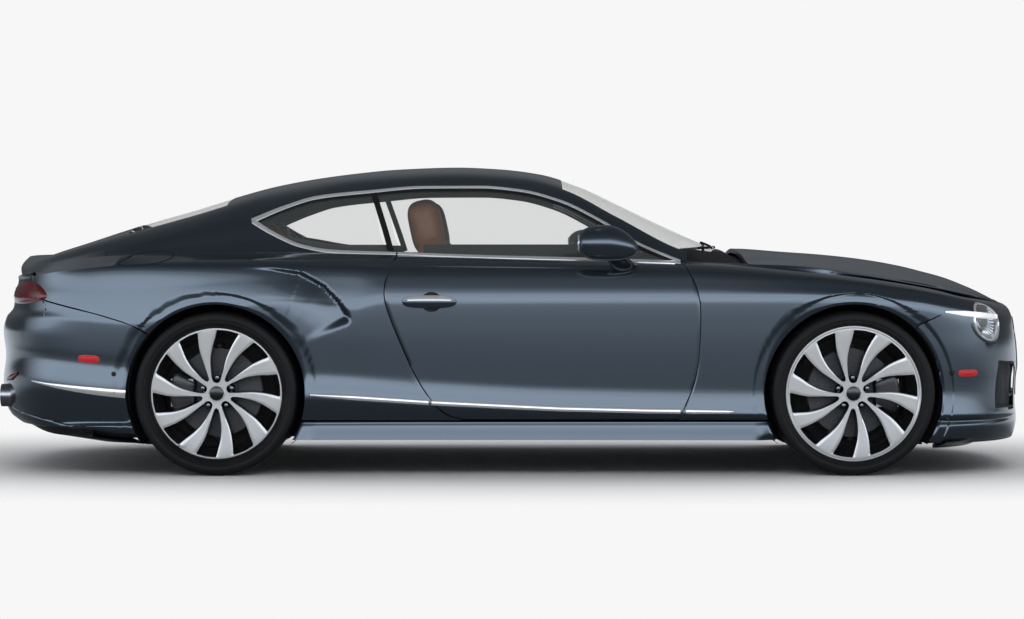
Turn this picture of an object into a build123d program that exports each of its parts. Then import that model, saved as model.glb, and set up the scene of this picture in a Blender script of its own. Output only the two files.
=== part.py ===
"""Two-door grand tourer coupe, built as separate panels, glass, running gear and cabin pieces.

Millimetres. +X is forward, +Y is the car's left, +Z is up. The origin is on the ground, at the
centre of the car's bounding box. The body comes from two lofted volumes, a lower body and a
greenhouse, each with a cavity inside it. The hollow shell between them is cut into the real
panels along side-view outlines, so that neighbours share their faces, and what opens keeps a gap.
"""

from build123d import *
import math
import os

os.makedirs("parts", exist_ok=True)

# ---------------------------------------------------------------- driving dimensions
WHEELBASE = 2851
FRONT_AXLE_X = 1535
REAR_AXLE_X = FRONT_AXLE_X - WHEELBASE
AXLE_Z = 368
NOSE_X = 2445
TAIL_X = -2412
HALF_WIDTH = 983

TYRE_R = 368
RIM_R = 299
BARREL_R = 279
BARREL_WALL = 15
SPINDLE_R = 34
DISC_R = 182
FRONT_WHEEL_Y = 807.5
REAR_WHEEL_Y = 797.5
FRONT_TYRE_W = 275
REAR_TYRE_W = 305
ARCH_R = 398
LINER_R = 405
LINER_T = 8

ROOF_T = 40
WALL_T = 105
SKIN_T = 26
FLOOR_T = 28
CABIN_FLOOR = 186
GLASS_T = 6
DOOR_GAP = 7.5
LID_GAP = 8
LID_FRONT_GAP = 12
PIN_CLEAR = 0.05

LUG_PCD = 130
JACK_PAD_Z = 148
RAIL_Z = 600

DOOR_AXIS_X = 730
DOOR_AXIS_Y = 920
DOOR_PIN_R = 6
DOOR_EYE_R = 9.5
DOOR_SKIN_Y = 931
HINGE_Z = (400, 690)
HOOD_AXIS_X = 1088
HOOD_AXIS_Z = 922
HOOD_SWEEP_Y = 740
HOOD_SWEEP_R = 97
HOOD_EDGE_SWEEP_R = 44
HEADLAMP_R = 83
TIP_X = -2334
TIP_R = 52
TIP_T = 7
HOOD_PIN_R = 6
LID_AXIS_X = -1855
LID_AXIS_Z = 1090
LID_PIN_R = 4

# ---------------------------------------------------------------- section tables
# Lower body. Columns: station x; bottom edge y, z; rocker y, z; widest point y, z; shoulder y, z;
# height of the crown on the centre line.
LOWER = [
    (-2470, 700, 205, 800, 330, 830, 650, 640, 925, 955),
    (-2200, 770, 200, 860, 330, 890, 680, 670, 945, 993),
    (-2000, 815, 195, 900, 330, 930, 705, 700, 965, 1053),
    (-1840, 840, 190, 918, 325, 952, 735, 722, 977, 1105),
    (-1600, 860, 180, 932, 320, 974, 772, 745, 986, 1115),
    (-1311, 880, 170, 945, 315, HALF_WIDTH, 800, 765, 992, 1060),
    (-900, 885, 162, 940, 300, 968, 798, 795, 993, 1015),
    (-400, 885, 160, 935, 300, 947, 775, 808, 982, 1000),
    (300, 885, 160, 935, 300, 941, 768, 812, 966, 1000),
    (900, 885, 158, 932, 300, 943, 766, 806, 950, 1022),
    (1350, 880, 153, 928, 300, 955, 768, 808, 925, 1001),
    (1700, 876, 147, 920, 300, 950, 755, 790, 878, 967),
    (1970, 868, 143, 912, 300, 930, 735, 750, 830, 911),
    (2200, 856, 141, 900, 300, 905, 690, 700, 775, 832),
    (2470, 840, 140, 880, 300, 880, 620, 640, 670, 690),
]
# Greenhouse. Columns: station x; foot y (at FOOT_Z); lower rail y, z; upper rail y, z; crown z.
FOOT_Z = 870
UPPER = [
    (-2100, 700, 665, 957, 560, 977, 1022),
    (-1840, 745, 712, 979, 585, 1021, 1105),
    (-1494, 805, 705, 1085, 560, 1155, 1208),
    (-1110, 830, 665, 1180, 535, 1264, 1320),
    (-720, 843, 626, 1262, 515, 1330, 1382),
    (-240, 850, 603, 1299, 505, 1357, 1408),
    (60, 850, 612, 1281, 520, 1338, 1387),
    (246, 848, 640, 1232, 562, 1288, 1346),
    (490, 842, 702, 1094, 640, 1160, 1243),
    (770, 828, 772, 925, 735, 1014, 1108),
    (1150, 800, 782, 895, 735, 920, 945),
]

# ---------------------------------------------------------------- outlines in side view (x, z)
DOOR = [
    (-508, 1100), (-508, 993), (-542, 931), (-565, 850), (-562, 781), (-534, 698), (-496, 605),
    (-422, 439), (-348, 329), (-275, 274), (-198, 260), (222, 252), (747, 245), (775, 301),
    (836, 439), (850, 640), (850, 743), (838, 830), (800, 915), (775, 935), (775, 1100),
]
HOOD = [
    (1080, 1200), (1080, 930), (1210, 921), (1527, 889), (1750, 858), (1930, 827), (2040, 797),
    (2330, 752), (2410, 1200),
]
LID = [
    (-1840, 1300), (-1840, 986), (-1900, 975), (-2070, 943), (-2170, 906), (-2290, 884),
    (-2500, 876), (-2500, 1300),
]
LID_HOLE = [
    (-1840 + LID_FRONT_GAP, 1300), (-1840 + LID_FRONT_GAP, 974), (-1900, 966), (-2070, 935),
    (-2168, 898), (-2290, 876), (-2500, 868), (-2500, 1300),
]
FENDER = [
    (760, 245), (1150, 245), (1150, 368), (1535, 368), (1790, 640), (1829, 678), (1946, 732),
    (2100, 745), (2160, 745), (2160, 1100), (760, 1100),
]
FRONT_BUMPER = [
    (2500, 100), (1855, 100), (1790, 640), (1829, 678), (1946, 732), (2100, 745), (2160, 745),
    (2160, 1100), (2500, 1100),
]
QUARTER = [
    (-240, 245), (-240, 1300), (-2500, 1300), (-2500, 799), (-2148, 799), (-1860, 729),
    (-1688, 677), (-1620, 640), (-1316, 368), (-1000, 368), (-921, 245),
]
REAR_BUMPER = [
    (-2500, 100), (-2500, 799), (-2148, 799), (-1860, 729), (-1688, 677), (-1620, 640),
    (-1660, 100),
]
SILL = [(-1000, 100), (-1000, 368), (-921, 245), (1150, 245), (1200, 100)]
WINDOWS = [
    (-1160, 1143), (-886, 1245), (-640, 1265), (-394, 1291), (-139, 1292), (44, 1275), (226, 1226),
    (408, 1136), (590, 1021), (745, 935), (745, 800), (-700, 800), (-900, 1000), (-955, 1035),
]
DOOR_GLASS = [
    (-470, 870), (-602, 1259), (-394, 1284), (-139, 1285), (40, 1268), (220, 1219), (404, 1129),
    (586, 1014), (738, 930), (738, 870),
]
QUARTER_GLASS = [
    (-1160, 1143), (-886, 1245), (-645, 1264), (-548, 1003), (-585, 1000), (-585, 900),
    (-700, 900), (-900, 1000), (-955, 1035),
]
POST = [(-645, 1280), (-645, 1264), (-548, 1003), (-522, 1003), (-616, 1280)]
SCREEN = [(227, 1298), (778, 1010), (985, 930), (985, 1500), (262, 1500)]
REAR_SCREEN = [(-1752, -470), (-1752, 470), (-1310, 525), (-1290, 0, -1310, -525)]
SPLITTER = [(2080, 120), (2080, 215), (2330, 222), (2440, 236), (2455, 215), (2300, 150), (2300, 120)]
DIFFUSER = [(-2500, 100), (-2500, 292), (-2250, 292), (-1950, 225), (-1950, 100)]
MIRROR = [
    (291, 1010), (302, 1108), (420, 1127), (520, 1095), (557, 1040), (540, 985), (480, 960),
    (330, 965),
]

# ---------------------------------------------------------------- outlines in plan (x, y)
PLAN = [
    (1860, -1010), (1860, -955), (2150, -826, 2300, -620), (2384, -340, NOSE_X, 0),
    (2384, 340, 2300, 620), (2150, 826, 1860, 955), (1860, 1010), (-1870, 1010), (-1870, 968),
    (-2190, 835, -2318, 620), (-2374, 320, TAIL_X, 0), (-2374, -320, -2318, -620),
    (-2190, -835, -1870, -968), (-1870, -1010),
]
PLAN_IN = [
    (1830, -885), (2110, -740, 2230, -560), (2305, -300, 2325, 0), (2305, 300, 2230, 560),
    (2110, 740, 1830, 885), (-1830, 895), (-2120, 760, -2225, 580), (-2270, 300, -2285, 0),
    (-2270, -300, -2225, -580), (-2120, -760, -1830, -895),
]
PROFILE = [
    (-2290, 1500), (-2290, 1000), (-2325, 975), (-2348, 935), (-2330, 880), (-2358, 800),
    (-2358, 756), (-2398, 700), (TAIL_X, 640), (-2400, 520), (TAIL_X, 400), (-2405, 320),
    (-2380, 258), (-2270, 205), (-1990, 147), (-1990, 100), (2180, 100), (2180, 165), (2396, 250),
    (2412, 330), (2405, 410), (2420, 480), (2418, 560), (2408, 610), (2400, 650), (2388, 700),
    (2366, 742), (2310, 790), (2200, 860), (2200, 1500),
]


def outline_face(points, place):
    """Flat face from (a, b) points. A point of four numbers is an arc: middle (a, b), end (a, b)."""
    edges = []
    last = points[-1][-2:]
    for p in points:
        start, end = place(*last), place(*p[-2:])
        if len(p) == 4:
            edges.append(Edge.make_three_point_arc(start, place(*p[:2]), end))
        else:
            edges.append(Edge.make_line(start, end))
        last = p[-2:]
    return Face(Wire(edges))


def plate(points, y0=-1100, y1=1100):
    """Solid between two y values whose side-view outline is points."""
    return Solid.extrude(outline_face(points, lambda x, z: Vector(x, y0, z)), Vector(0, y1 - y0, 0))


def prism(points, z0, z1):
    """Solid between two heights whose plan outline is points."""
    return Solid.extrude(outline_face(points, lambda x, y: Vector(x, y, z0)), Vector(0, 0, z1 - z0))


def slab_x(points, x0, x1):
    """Solid between two x values whose front-view outline is (y, z) points."""
    return Solid.extrude(outline_face(points, lambda y, z: Vector(x0, y, z)), Vector(x1 - x0, 0, 0))


def grow(points, gap):
    """A straight-sided outline moved outwards by gap, corners kept sharp."""
    area = sum(a[0] * b[1] - b[0] * a[1] for a, b in zip(points, points[1:] + points[:1]))
    turn = 1 if area > 0 else -1
    out = []
    for a, b, c in zip(points[-1:] + points[:-1], points, points[1:] + points[:1]):
        ux, uz = b[0] - a[0], b[1] - a[1]
        vx, vz = c[0] - b[0], c[1] - b[1]
        lu, lv = math.hypot(ux, uz), math.hypot(vx, vz)
        nx, nz = turn * uz / lu, -turn * ux / lu
        mx, mz = turn * vz / lv, -turn * vx / lv
        k = gap / (1 + nx * mx + nz * mz)
        out.append((b[0] + k * (nx + mx), b[1] + k * (nz + mz)))
    return out


def block(x0, x1, y0, y1, z0, z1):
    """Axis-aligned box from its six limits."""
    return Pos((x0 + x1) / 2, (y0 + y1) / 2, (z0 + z1) / 2) * Box(x1 - x0, abs(y1 - y0), z1 - z0)


def rod_y(x, z, y0, y1, r):
    """Cylinder along Y."""
    return Pos(x, (y0 + y1) / 2, z) * Rot(90, 0, 0) * Cylinder(r, abs(y1 - y0))


def rod_z(x, y, z0, z1, r):
    """Cylinder along Z."""
    return Pos(x, y, (z0 + z1) / 2) * Cylinder(r, abs(z1 - z0))


def rod_x(y, z, x0, x1, r):
    """Cylinder along X."""
    return Pos((x0 + x1) / 2, y, z) * Rot(0, 90, 0) * Cylinder(r, abs(x1 - x0))


def rod(a, b, r):
    """Cylinder between two points."""
    start, end = Vector(*a), Vector(*b)
    return Plane(origin=start, z_dir=end - start) * Pos(0, 0, (end - start).length / 2) * Cylinder(
        r, (end - start).length)


def mirrored(shape):
    """The same shape on the other side of the car."""
    return mirror(shape, about=Plane.XZ)


def solids_of(shape):
    """Solids of a result, largest first."""
    found = shape.solids() if not isinstance(shape, (list, tuple)) else [
        s for item in shape for s in item.solids()]
    return sorted(found, key=lambda s: -s.volume)


def ring(points, arcs):
    """Closed section wire through the points; arcs maps the index of a start point to the
    middle point of the arc which leaves it."""
    edges = []
    for i, start in enumerate(points):
        end = points[(i + 1) % len(points)]
        if i in arcs:
            edges.append(Edge.make_three_point_arc(start, arcs[i], end))
        else:
            edges.append(Edge.make_line(start, end))
    return Wire(edges)


def lower_section(row, side=0, top=0, floor=0):
    """Lower body section: flat bottom, rocker, flank, arched shoulder and arched crown."""
    x, yb, zb, yr, zr, yw, zw, ys, zs, zt = row
    yb, yr, yw, ys = yb - side, yr - side, yw - side, ys - 0.6 * side
    zb, zs, zt = zb + floor, zs - top, zt - top
    ym, zm = 0.36 * ys + 0.64 * yw, 0.62 * zs + 0.38 * zw + 6
    points = [Vector(x, y, z) for y, z in
              [(-yb, zb), (yb, zb), (yr, zr), (yw, zw), (ys, zs), (-ys, zs), (-yw, zw), (-yr, zr)]]
    return ring(points, {3: Vector(x, ym, zm), 4: Vector(x, 0, zt), 5: Vector(x, -ym, zm)})


def upper_section(row, inset=0):
    """Greenhouse section: leaning side, rail and arched crown, all moved inwards by inset."""
    x, yf, y1, z1, y2, z2, zc = row
    yf, y1, z1 = yf - 1.12 * inset, y1 - 1.0 * inset, z1 - 0.55 * inset
    y2, z2, zc = y2 - 0.5 * inset, z2 - 0.95 * inset, zc - inset
    points = [Vector(x, y, z) for y, z in
              [(-yf, FOOT_Z), (yf, FOOT_Z), (y1, z1), (y2, z2), (-y2, z2), (-y1, z1)]]
    return ring(points, {3: Vector(x, 0, zc)})


def loft(sections):
    return Solid.make_loft(sections)


# ---------------------------------------------------------------- master volumes
lower_loft = loft([lower_section(r) for r in LOWER])
plan_prism = prism(PLAN, 50, 1500)
plan_prism = plan_prism & block(TAIL_X, NOSE_X, -1100, 1100, 0, 2000)
lower = lower_loft & plan_prism & plate(PROFILE)
lower_in = loft([lower_section(r, WALL_T, SKIN_T, FLOOR_T) for r in LOWER]) & prism(PLAN_IN, 50, 1500)
upper_loft = loft([upper_section(r) for r in UPPER])
upper = upper_loft & block(-1828, 1000, -1000, 1000, 860, 1500)
upper_in = loft([upper_section(r, ROOF_T) for r in UPPER])
glass_in = loft([upper_section(r, GLASS_T) for r in UPPER])

wheel_wells = []
for axle_x in (FRONT_AXLE_X, REAR_AXLE_X):
    for side in (-1, 1):
        wheel_wells.append(rod_y(axle_x, AXLE_Z, side * 420, side * 1100, ARCH_R))

tubs = [rod_y(REAR_AXLE_X, AXLE_Z, side * 425, side * 1000, LINER_R + LINER_T) for side in (-1, 1)]
wheel_tubs = tubs[0] + tubs[1]

shell = lower - lower_in - upper - block(700, 1070, -700, 700, 930, 1200)
shell = shell - wheel_wells[0] - wheel_wells[1] - wheel_wells[2] - wheel_wells[3]

door_hole = plate(grow(DOOR, DOOR_GAP))
hood_hole_outline = grow(HOOD, LID_GAP)
hood_hole_outline[1] = (1068, 914)
hood_hole_outline[0] = (1068, 1200)
hood_hole = plate(hood_hole_outline)
lid_hole = plate(LID_HOLE)


def plan_band(d0, d1, x0, x1):
    """Band following the plan outline, between d0 and d1 inside it."""
    def inside(d):
        return [tuple(v * (1 - d / (2450 if i % 2 == 0 else 980)) for i, v in enumerate(p)) for p in PLAN]
    return (prism(inside(d0), 60, 1400) - prism(inside(d1), 60, 1400)) & block(x0, x1, -1000, 1000, 60, 1400)


# lamps, tips and openings which several panels give way to
head_cut = rod((2345, 1002, 688), (2000, 702, 688), HEADLAMP_R)
head_cut = head_cut + mirrored(head_cut)
TAIL_LAMP = [
    (500, 812), (545, 852), (640, 868), (780, 868), (850, 848), (893, 800), (850, 778), (780, 768),
    (640, 766), (545, 778),
]
tail_cut = slab_x(TAIL_LAMP, -2500, -2030)
tail_cut = tail_cut + mirrored(tail_cut)
tips = [rod_x(side * 620, 345, -2500, -2100, TIP_R) for side in (-1, 1)]
GRILLE = [(-405, 640), (-370, 690), (370, 690), (405, 640), (385, 345), (-385, 345)]
INTAKE = [(490, 430), (560, 490), (745, 505), (765, 300), (520, 290)]
grille_cut = slab_x(GRILLE, 2200, 2500)
intake_cut = slab_x(INTAKE, 2100, 2500)
nose_cuts = grille_cut + intake_cut + mirrored(intake_cut)

parts = {}

# ---------------------------------------------------------------- body panels
fender = (shell & plate(FENDER, 380, 1100)) - door_hole - hood_hole - head_cut
fender = fender - rod_y(HOOD_AXIS_X, HOOD_AXIS_Z, 300, HOOD_SWEEP_Y, HOOD_SWEEP_R)
fender = fender - rod_y(HOOD_AXIS_X, HOOD_AXIS_Z, HOOD_SWEEP_Y, 830, HOOD_EDGE_SWEEP_R)
fender = solids_of(fender)[0]
parts["fender_left"] = fender
parts["fender_right"] = mirrored(fender)

quarter = (shell & plate(QUARTER, 480, 1100)) - door_hole - lid_hole - tail_cut
quarter = solids_of(quarter)[0]
parts["quarter_left"] = quarter
parts["quarter_right"] = mirrored(quarter)

splitter = lower_loft & plan_prism & plate(SPLITTER)
parts["front_splitter"] = splitter - wheel_wells[0] - wheel_wells[1]
front_bumper = (shell & plate(FRONT_BUMPER)) - hood_hole - head_cut - plate(SPLITTER) - nose_cuts
parts["front_bumper"] = solids_of(front_bumper)[0]
parts["grille"] = (
    (plan_band(28, 52, 2150, 2500) & nose_cuts))

diffuser_cut = plate(DIFFUSER, -760, 760)
muffler_bay = block(-2200, -1600, -600, 600, 100, 300)
parts["rear_diffuser"] = (shell & diffuser_cut & plate(REAR_BUMPER)) - tips[0] - tips[1] - muffler_bay
tail_panel = (shell & block(-2500, -2148, -480, 480, 799, 1100)) - lid_hole
parts["rear_bumper"] = (
    (shell & plate(REAR_BUMPER)) + tail_panel - tail_cut - diffuser_cut - tips[0] - tips[1] - muffler_bay)

sill = (shell & plate(SILL, 780, 1100)) - door_hole
for x in (-800, 1000):
    sill = sill + block(x - 35, x + 35, 810, 870, JACK_PAD_Z, 175)
parts["sills"] = sill + mirrored(sill)
partition = (lower_in & block(-1235, -1215, -1000, 1000, 186, 900)) + block(-1235, -1215, -700, 700, 186, 210)
partition = (partition - upper) + block(-1235, -1215, -560, 560, 860, 925)
partition = partition + block(-1700, -1215, -560, 560, 900, 925) - wheel_tubs
trunk_floor = (lower_in & block(-2500, -1450, -550, 550, 335, 355)) - wheel_tubs
floor_pan = (shell & block(-1215, 1050, -780, 780, 100, CABIN_FLOOR)) + partition
parts["floor_pan"] = Compound([*solids_of(floor_pan), *solids_of(trunk_floor)])

# ---------------------------------------------------------------- greenhouse
screen_cut = plate(SCREEN)
rear_screen_cut = prism(REAR_SCREEN, 1060, 1500)
roof = (upper - upper_in) - plate(WINDOWS) - screen_cut - rear_screen_cut
roof = roof - block(600, 890, -900, 900, 860, 965)
roof = roof + ((upper - upper_in) & plate(POST))
for side in (-1, 1):
    eye = rod_y(LID_AXIS_X, LID_AXIS_Z, side * 114, side * 146, 6.9) + block(
        LID_AXIS_X, -1815, side * 114, side * 146, LID_AXIS_Z - 5, LID_AXIS_Z + 4)
    roof = roof + (eye - rod_y(LID_AXIS_X, LID_AXIS_Z, side * 100, side * 160, LID_PIN_R + PIN_CLEAR))
parts["roof_frame"] = roof
glass = upper - glass_in
parts["windscreen"] = glass & screen_cut
parts["rear_glass"] = Compound([*solids_of(glass & rear_screen_cut), *solids_of(glass & plate(QUARTER_GLASS))])

# ---------------------------------------------------------------- doors, glass and mirrors
door = shell & plate(DOOR, 600, 1100)
hinge_arms = None
for z0 in HINGE_Z:
    door = door - block(716, 870, 770, DOOR_SKIN_Y, z0, z0 + 60)
    door = door + rod_z(DOOR_AXIS_X, DOOR_AXIS_Y, z0 - 6, z0 + 66, DOOR_PIN_R)
    arm = rod_z(DOOR_AXIS_X, DOOR_AXIS_Y, z0 + 18, z0 + 42, DOOR_EYE_R)
    arm = arm + block(DOOR_AXIS_X - 8, DOOR_AXIS_X + 8, 775, DOOR_AXIS_Y, z0 + 18, z0 + 42)
    arm = arm + block(DOOR_AXIS_X - 8, 900, 775, 791, z0 + 18, z0 + 42)
    arm = arm - rod_z(DOOR_AXIS_X, DOOR_AXIS_Y, z0, z0 + 60, DOOR_PIN_R + PIN_CLEAR)
    hinge_arms = arm if hinge_arms is None else hinge_arms + arm
handle = block(-475, -245, 925, 966, 766, 794)
door = door + (handle - block(-450, -270, 925, 956, 760, 800))
parts["door_left"] = door
parts["door_right"] = mirrored(door)

pane = glass & plate(DOOR_GLASS, 300, 1100)
parts["door_glass_left"] = pane
parts["door_glass_right"] = mirrored(pane)

MIRROR_Y0, MIRROR_Y1 = 925, 1090
mirror_head = plate(MIRROR, MIRROR_Y0, MIRROR_Y1)
mirror_head = fillet(mirror_head.edges().filter_by(Plane.XZ), 18)
mirror_foot = block(455, 560, 835, 950, 880, 985) - lower
mirror_housing = mirror_head + mirror_foot - lower
parts["mirror_left"] = mirror_housing
parts["mirror_right"] = mirrored(mirror_housing)

# ---------------------------------------------------------------- hood
hood = (shell & plate(HOOD)) - head_cut
bulkhead = lower_in & block(900, 925, -1000, 1000, 160, 935)
bulkhead = bulkhead + (lower_in & block(925, 1060, -690, 690, 840, 930)) - upper
bulkhead = bulkhead + block(900, 925, -700, 700, CABIN_FLOOR, 210)
for side in (-1, 1):
    bulkhead = bulkhead + (lower_in & block(925, 2500, side * 345, side * 395, RAIL_Z, RAIL_Z + 56))
for side in (-1, 1):
    hood = hood + block(HOOD_AXIS_X - 12, HOOD_AXIS_X + 14, side * 608, side * 628, HOOD_AXIS_Z - 14, 960)
    hood = hood + rod_y(HOOD_AXIS_X, HOOD_AXIS_Z, side * 608, side * 664, HOOD_PIN_R)
    post = block(HOOD_AXIS_X - 12, HOOD_AXIS_X + 12, side * 636, side * 656, 780, HOOD_AXIS_Z)
    post = post + rod_y(HOOD_AXIS_X, HOOD_AXIS_Z, side * 636, side * 656, 12)
    post = post + block(920, HOOD_AXIS_X + 12, side * 636, side * 656, 780, 840)
    post = post - rod_y(HOOD_AXIS_X, HOOD_AXIS_Z, side * 600, side * 670, HOOD_PIN_R + PIN_CLEAR)
    bulkhead = bulkhead + post
bulkhead = bulkhead + hinge_arms + mirrored(hinge_arms)
parts["hood"] = hood
parts["front_bulkhead"] = bulkhead

# ---------------------------------------------------------------- trunk lid
lid = (shell & plate(LID)) - tail_cut
for side in (-1, 1):
    lid = lid - block(-1877, -1830, side * 106, side * 154, 1040, 1130)
    lid = lid + rod_y(LID_AXIS_X, LID_AXIS_Z, side * 100, side * 160, LID_PIN_R)
parts["trunk_lid"] = lid

# ---------------------------------------------------------------- lamps and tips
depth = plan_band(0, 95, -2500, 2500)
head = lower & head_cut & depth
parts["headlamps"] = head
parts["tail_lamps"] = lower & tail_cut & depth

muffler = block(-2180, -1850, -540, 540, 200, 335)
for side in (-1, 1):
    tip = rod_x(side * 620, 345, TIP_X, -2100, TIP_R) - rod_x(side * 620, 345, -2500, -2130, TIP_R - TIP_T)
    muffler = muffler + tip + block(-2150, -2100, side * 500, side * 600, 300, 334)
parts["exhaust"] = muffler

# ---------------------------------------------------------------- wheel wells
liners = None
for axle_x in (FRONT_AXLE_X, REAR_AXLE_X):
    tunnel = rod_y(axle_x, AXLE_Z, 425, 1000, LINER_R + LINER_T) - rod_y(axle_x, AXLE_Z, 433, 1000, LINER_R)
    tunnel = tunnel & lower_in
    tunnel = tunnel - block(axle_x - 75, axle_x + 75, 400, 440, 100, 640)
    liners = tunnel if liners is None else liners + tunnel
parts["arch_liners"] = liners + mirrored(liners)

# ---------------------------------------------------------------- wheels
# Windows between the spokes, in polar form: radius, angle from the +X side. Each repeats five times.
WINDOW_WIDE = [(262, 92.5), (262, 73.5), (209, 76.3), (94, 71.7), (80, 80), (80, 97), (94, 103.8), (139, 103.8), (195, 100.6), (244, 94.4)]
WINDOW_SLIM = [(262, 55.0), (262, 35.8), (217, 40.2), (92, 54), (101, 62.4), (164, 62.8), (226, 57.8)]


def wheel(width):
    """Rim with its spokes, hub and brake disc, centred on the origin, outboard side at +Y."""
    half = width / 2
    body = rod_y(0, 0, -half + 6, half - 6, BARREL_R) - rod_y(0, 0, -half, half, BARREL_R - BARREL_WALL)
    for y in (-half + 6, half - 14):
        body = body + (rod_y(0, 0, y, y + 8, RIM_R) - rod_y(0, 0, y - 1, y + 9, BARREL_R - BARREL_WALL))
    face = rod_y(0, 0, 82, 118, BARREL_R - BARREL_WALL)
    for k in range(5):
        for window in (WINDOW_WIDE, WINDOW_SLIM):
            points = [(r * math.cos(math.radians(a + 72 * k)), r * math.sin(math.radians(a + 72 * k)))
                      for r, a in window]
            face = face - plate(points, 60, 140)
    body = body + face + rod_y(0, 0, -30, 112, 66) + rod_y(0, 0, -14, 12, DISC_R)
    for k in range(5):
        a = math.radians(90 + 72 * k)
        body = body - rod_y(LUG_PCD / 2 * math.cos(a), LUG_PCD / 2 * math.sin(a), 104, 140, 12)
    return body - rod_y(0, 0, -40, 66, SPINDLE_R + PIN_CLEAR)


def tyre(width):
    """Tyre with rounded shoulders, seated on the barrel between the rim flanges."""
    half = width / 2
    seat = half - 14
    profile = [
        (BARREL_R, -seat), (BARREL_R, seat), (RIM_R, seat), (318, half - 4), (340, half), (356, half - 12),
        (TYRE_R, half - 42), (TYRE_R, -half + 42), (356, -half + 12), (340, -half), (318, -half + 4),
        (RIM_R, -seat),
    ]
    face = Face(Wire([Edge.make_line(Vector(a[0], a[1], 0), Vector(b[0], b[1], 0))
                      for a, b in zip(profile, profile[1:] + profile[:1])]))
    return Solid.revolve(face, 360, Axis.Y)


KNUCKLE_Z = 190
BALL_PIN_R = 8


def knuckle(caliper_side):
    """Spindle, upright, ball-joint ears and caliper, centred on the wheel centre, outboard at +Y."""
    body = rod_y(0, 0, -110, 62, SPINDLE_R) + block(-24, 24, -112, -56, -KNUCKLE_Z, KNUCKLE_Z)
    for side in (-1, 1):
        body = body + block(-22, 22, -112, 22, side * (KNUCKLE_Z + 4) - 5, side * (KNUCKLE_Z + 4) + 5)
        body = body + rod_z(0, 0, side * KNUCKLE_Z, side * (KNUCKLE_Z + 28), BALL_PIN_R)
    caliper = block(112, 212, -50, 48, -62, 62) - block(111, 200, -22, 20, -70, 70)
    caliper = caliper + block(0, 180, -80, -50, -30, 30)
    return body + (caliper if caliper_side > 0 else mirror(caliper, about=Plane.YZ))


front_wheel = Pos(FRONT_AXLE_X, FRONT_WHEEL_Y, AXLE_Z) * wheel(FRONT_TYRE_W)
rear_wheel = Pos(REAR_AXLE_X, REAR_WHEEL_Y, AXLE_Z) * wheel(REAR_TYRE_W)
front_tyre = Pos(FRONT_AXLE_X, FRONT_WHEEL_Y, AXLE_Z) * tyre(FRONT_TYRE_W)
rear_tyre = Pos(REAR_AXLE_X, REAR_WHEEL_Y, AXLE_Z) * tyre(REAR_TYRE_W)
parts["wheel_front_left"], parts["wheel_front_right"] = front_wheel, mirrored(front_wheel)
parts["wheel_rear_left"], parts["wheel_rear_right"] = rear_wheel, mirrored(rear_wheel)
parts["tyre_front_left"], parts["tyre_front_right"] = front_tyre, mirrored(front_tyre)
parts["tyre_rear_left"], parts["tyre_rear_right"] = rear_tyre, mirrored(rear_tyre)

# ---------------------------------------------------------------- knuckles and subframes
front_knuckle = Pos(FRONT_AXLE_X, FRONT_WHEEL_Y, AXLE_Z) * knuckle(1)
rear_knuckle = Pos(REAR_AXLE_X, REAR_WHEEL_Y, AXLE_Z) * knuckle(-1)
parts["knuckle_left"], parts["knuckle_right"] = front_knuckle, mirrored(front_knuckle)
parts["rear_knuckles"] = rear_knuckle + mirrored(rear_knuckle)


def subframe(x, wheel_y):
    """Cross member, towers and one upper and one lower arm each side, with eyes round the ball joints."""
    body = block(x - 75, x + 81, -400, 400, 160, 236)
    for side in (-1, 1):
        body = body + block(x - 34, x + 34, side * 340, side * 400, 150, RAIL_Z)
        for up in (-1, 1):
            z = AXLE_Z + up * (KNUCKLE_Z + 20)
            arm = block(x - 18, x + 18, side * 360, side * wheel_y, z - 6, z + 6)
            arm = arm + rod_z(x, side * wheel_y, z - 6, z + 6, 18)
            body = body + (arm - rod_z(x, side * wheel_y, z - 20, z + 20, BALL_PIN_R + PIN_CLEAR))
    return body


parts["front_subframe"] = subframe(FRONT_AXLE_X, FRONT_WHEEL_Y)
differential = block(REAR_AXLE_X - 70, REAR_AXLE_X + 70, -130, 130, 236, 440)
shafts = rod_y(REAR_AXLE_X, AXLE_Z, 130, REAR_WHEEL_Y - 112, 20)
parts["rear_subframe"] = subframe(REAR_AXLE_X, REAR_WHEEL_Y) + differential + shafts + mirrored(shafts)
parts["engine_block"] = block(1080, 1780, -300, 300, 236, 640) + block(1120, 1740, -260, 260, 640, 800)

# ---------------------------------------------------------------- cabin


def seat(x, y):
    """Front seat: cushion, reclined back and head restraint in one body, on two rails."""
    side_view = [
        (x - 20, CABIN_FLOOR + 60), (x + 500, CABIN_FLOOR + 80), (x + 520, CABIN_FLOOR + 240),
        (x + 480, CABIN_FLOOR + 270), (x + 90, CABIN_FLOOR + 235), (x - 165, CABIN_FLOOR + 770),
        (x - 250, CABIN_FLOOR + 790), (x - 265, CABIN_FLOOR + 700), (x - 80, CABIN_FLOOR + 180),
    ]
    body = plate(side_view, y - 255, y + 255)
    head = plate([(x - 190, CABIN_FLOOR + 770), (x - 245, CABIN_FLOOR + 965), (x - 330, CABIN_FLOOR + 950),
                  (x - 275, CABIN_FLOOR + 765)], y - 130, y + 130)
    rails = block(x, x + 460, y - 220, y - 180, CABIN_FLOOR, CABIN_FLOOR + 85) + block(
        x, x + 460, y + 180, y + 220, CABIN_FLOOR, CABIN_FLOOR + 85)
    return body + head + rails


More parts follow.
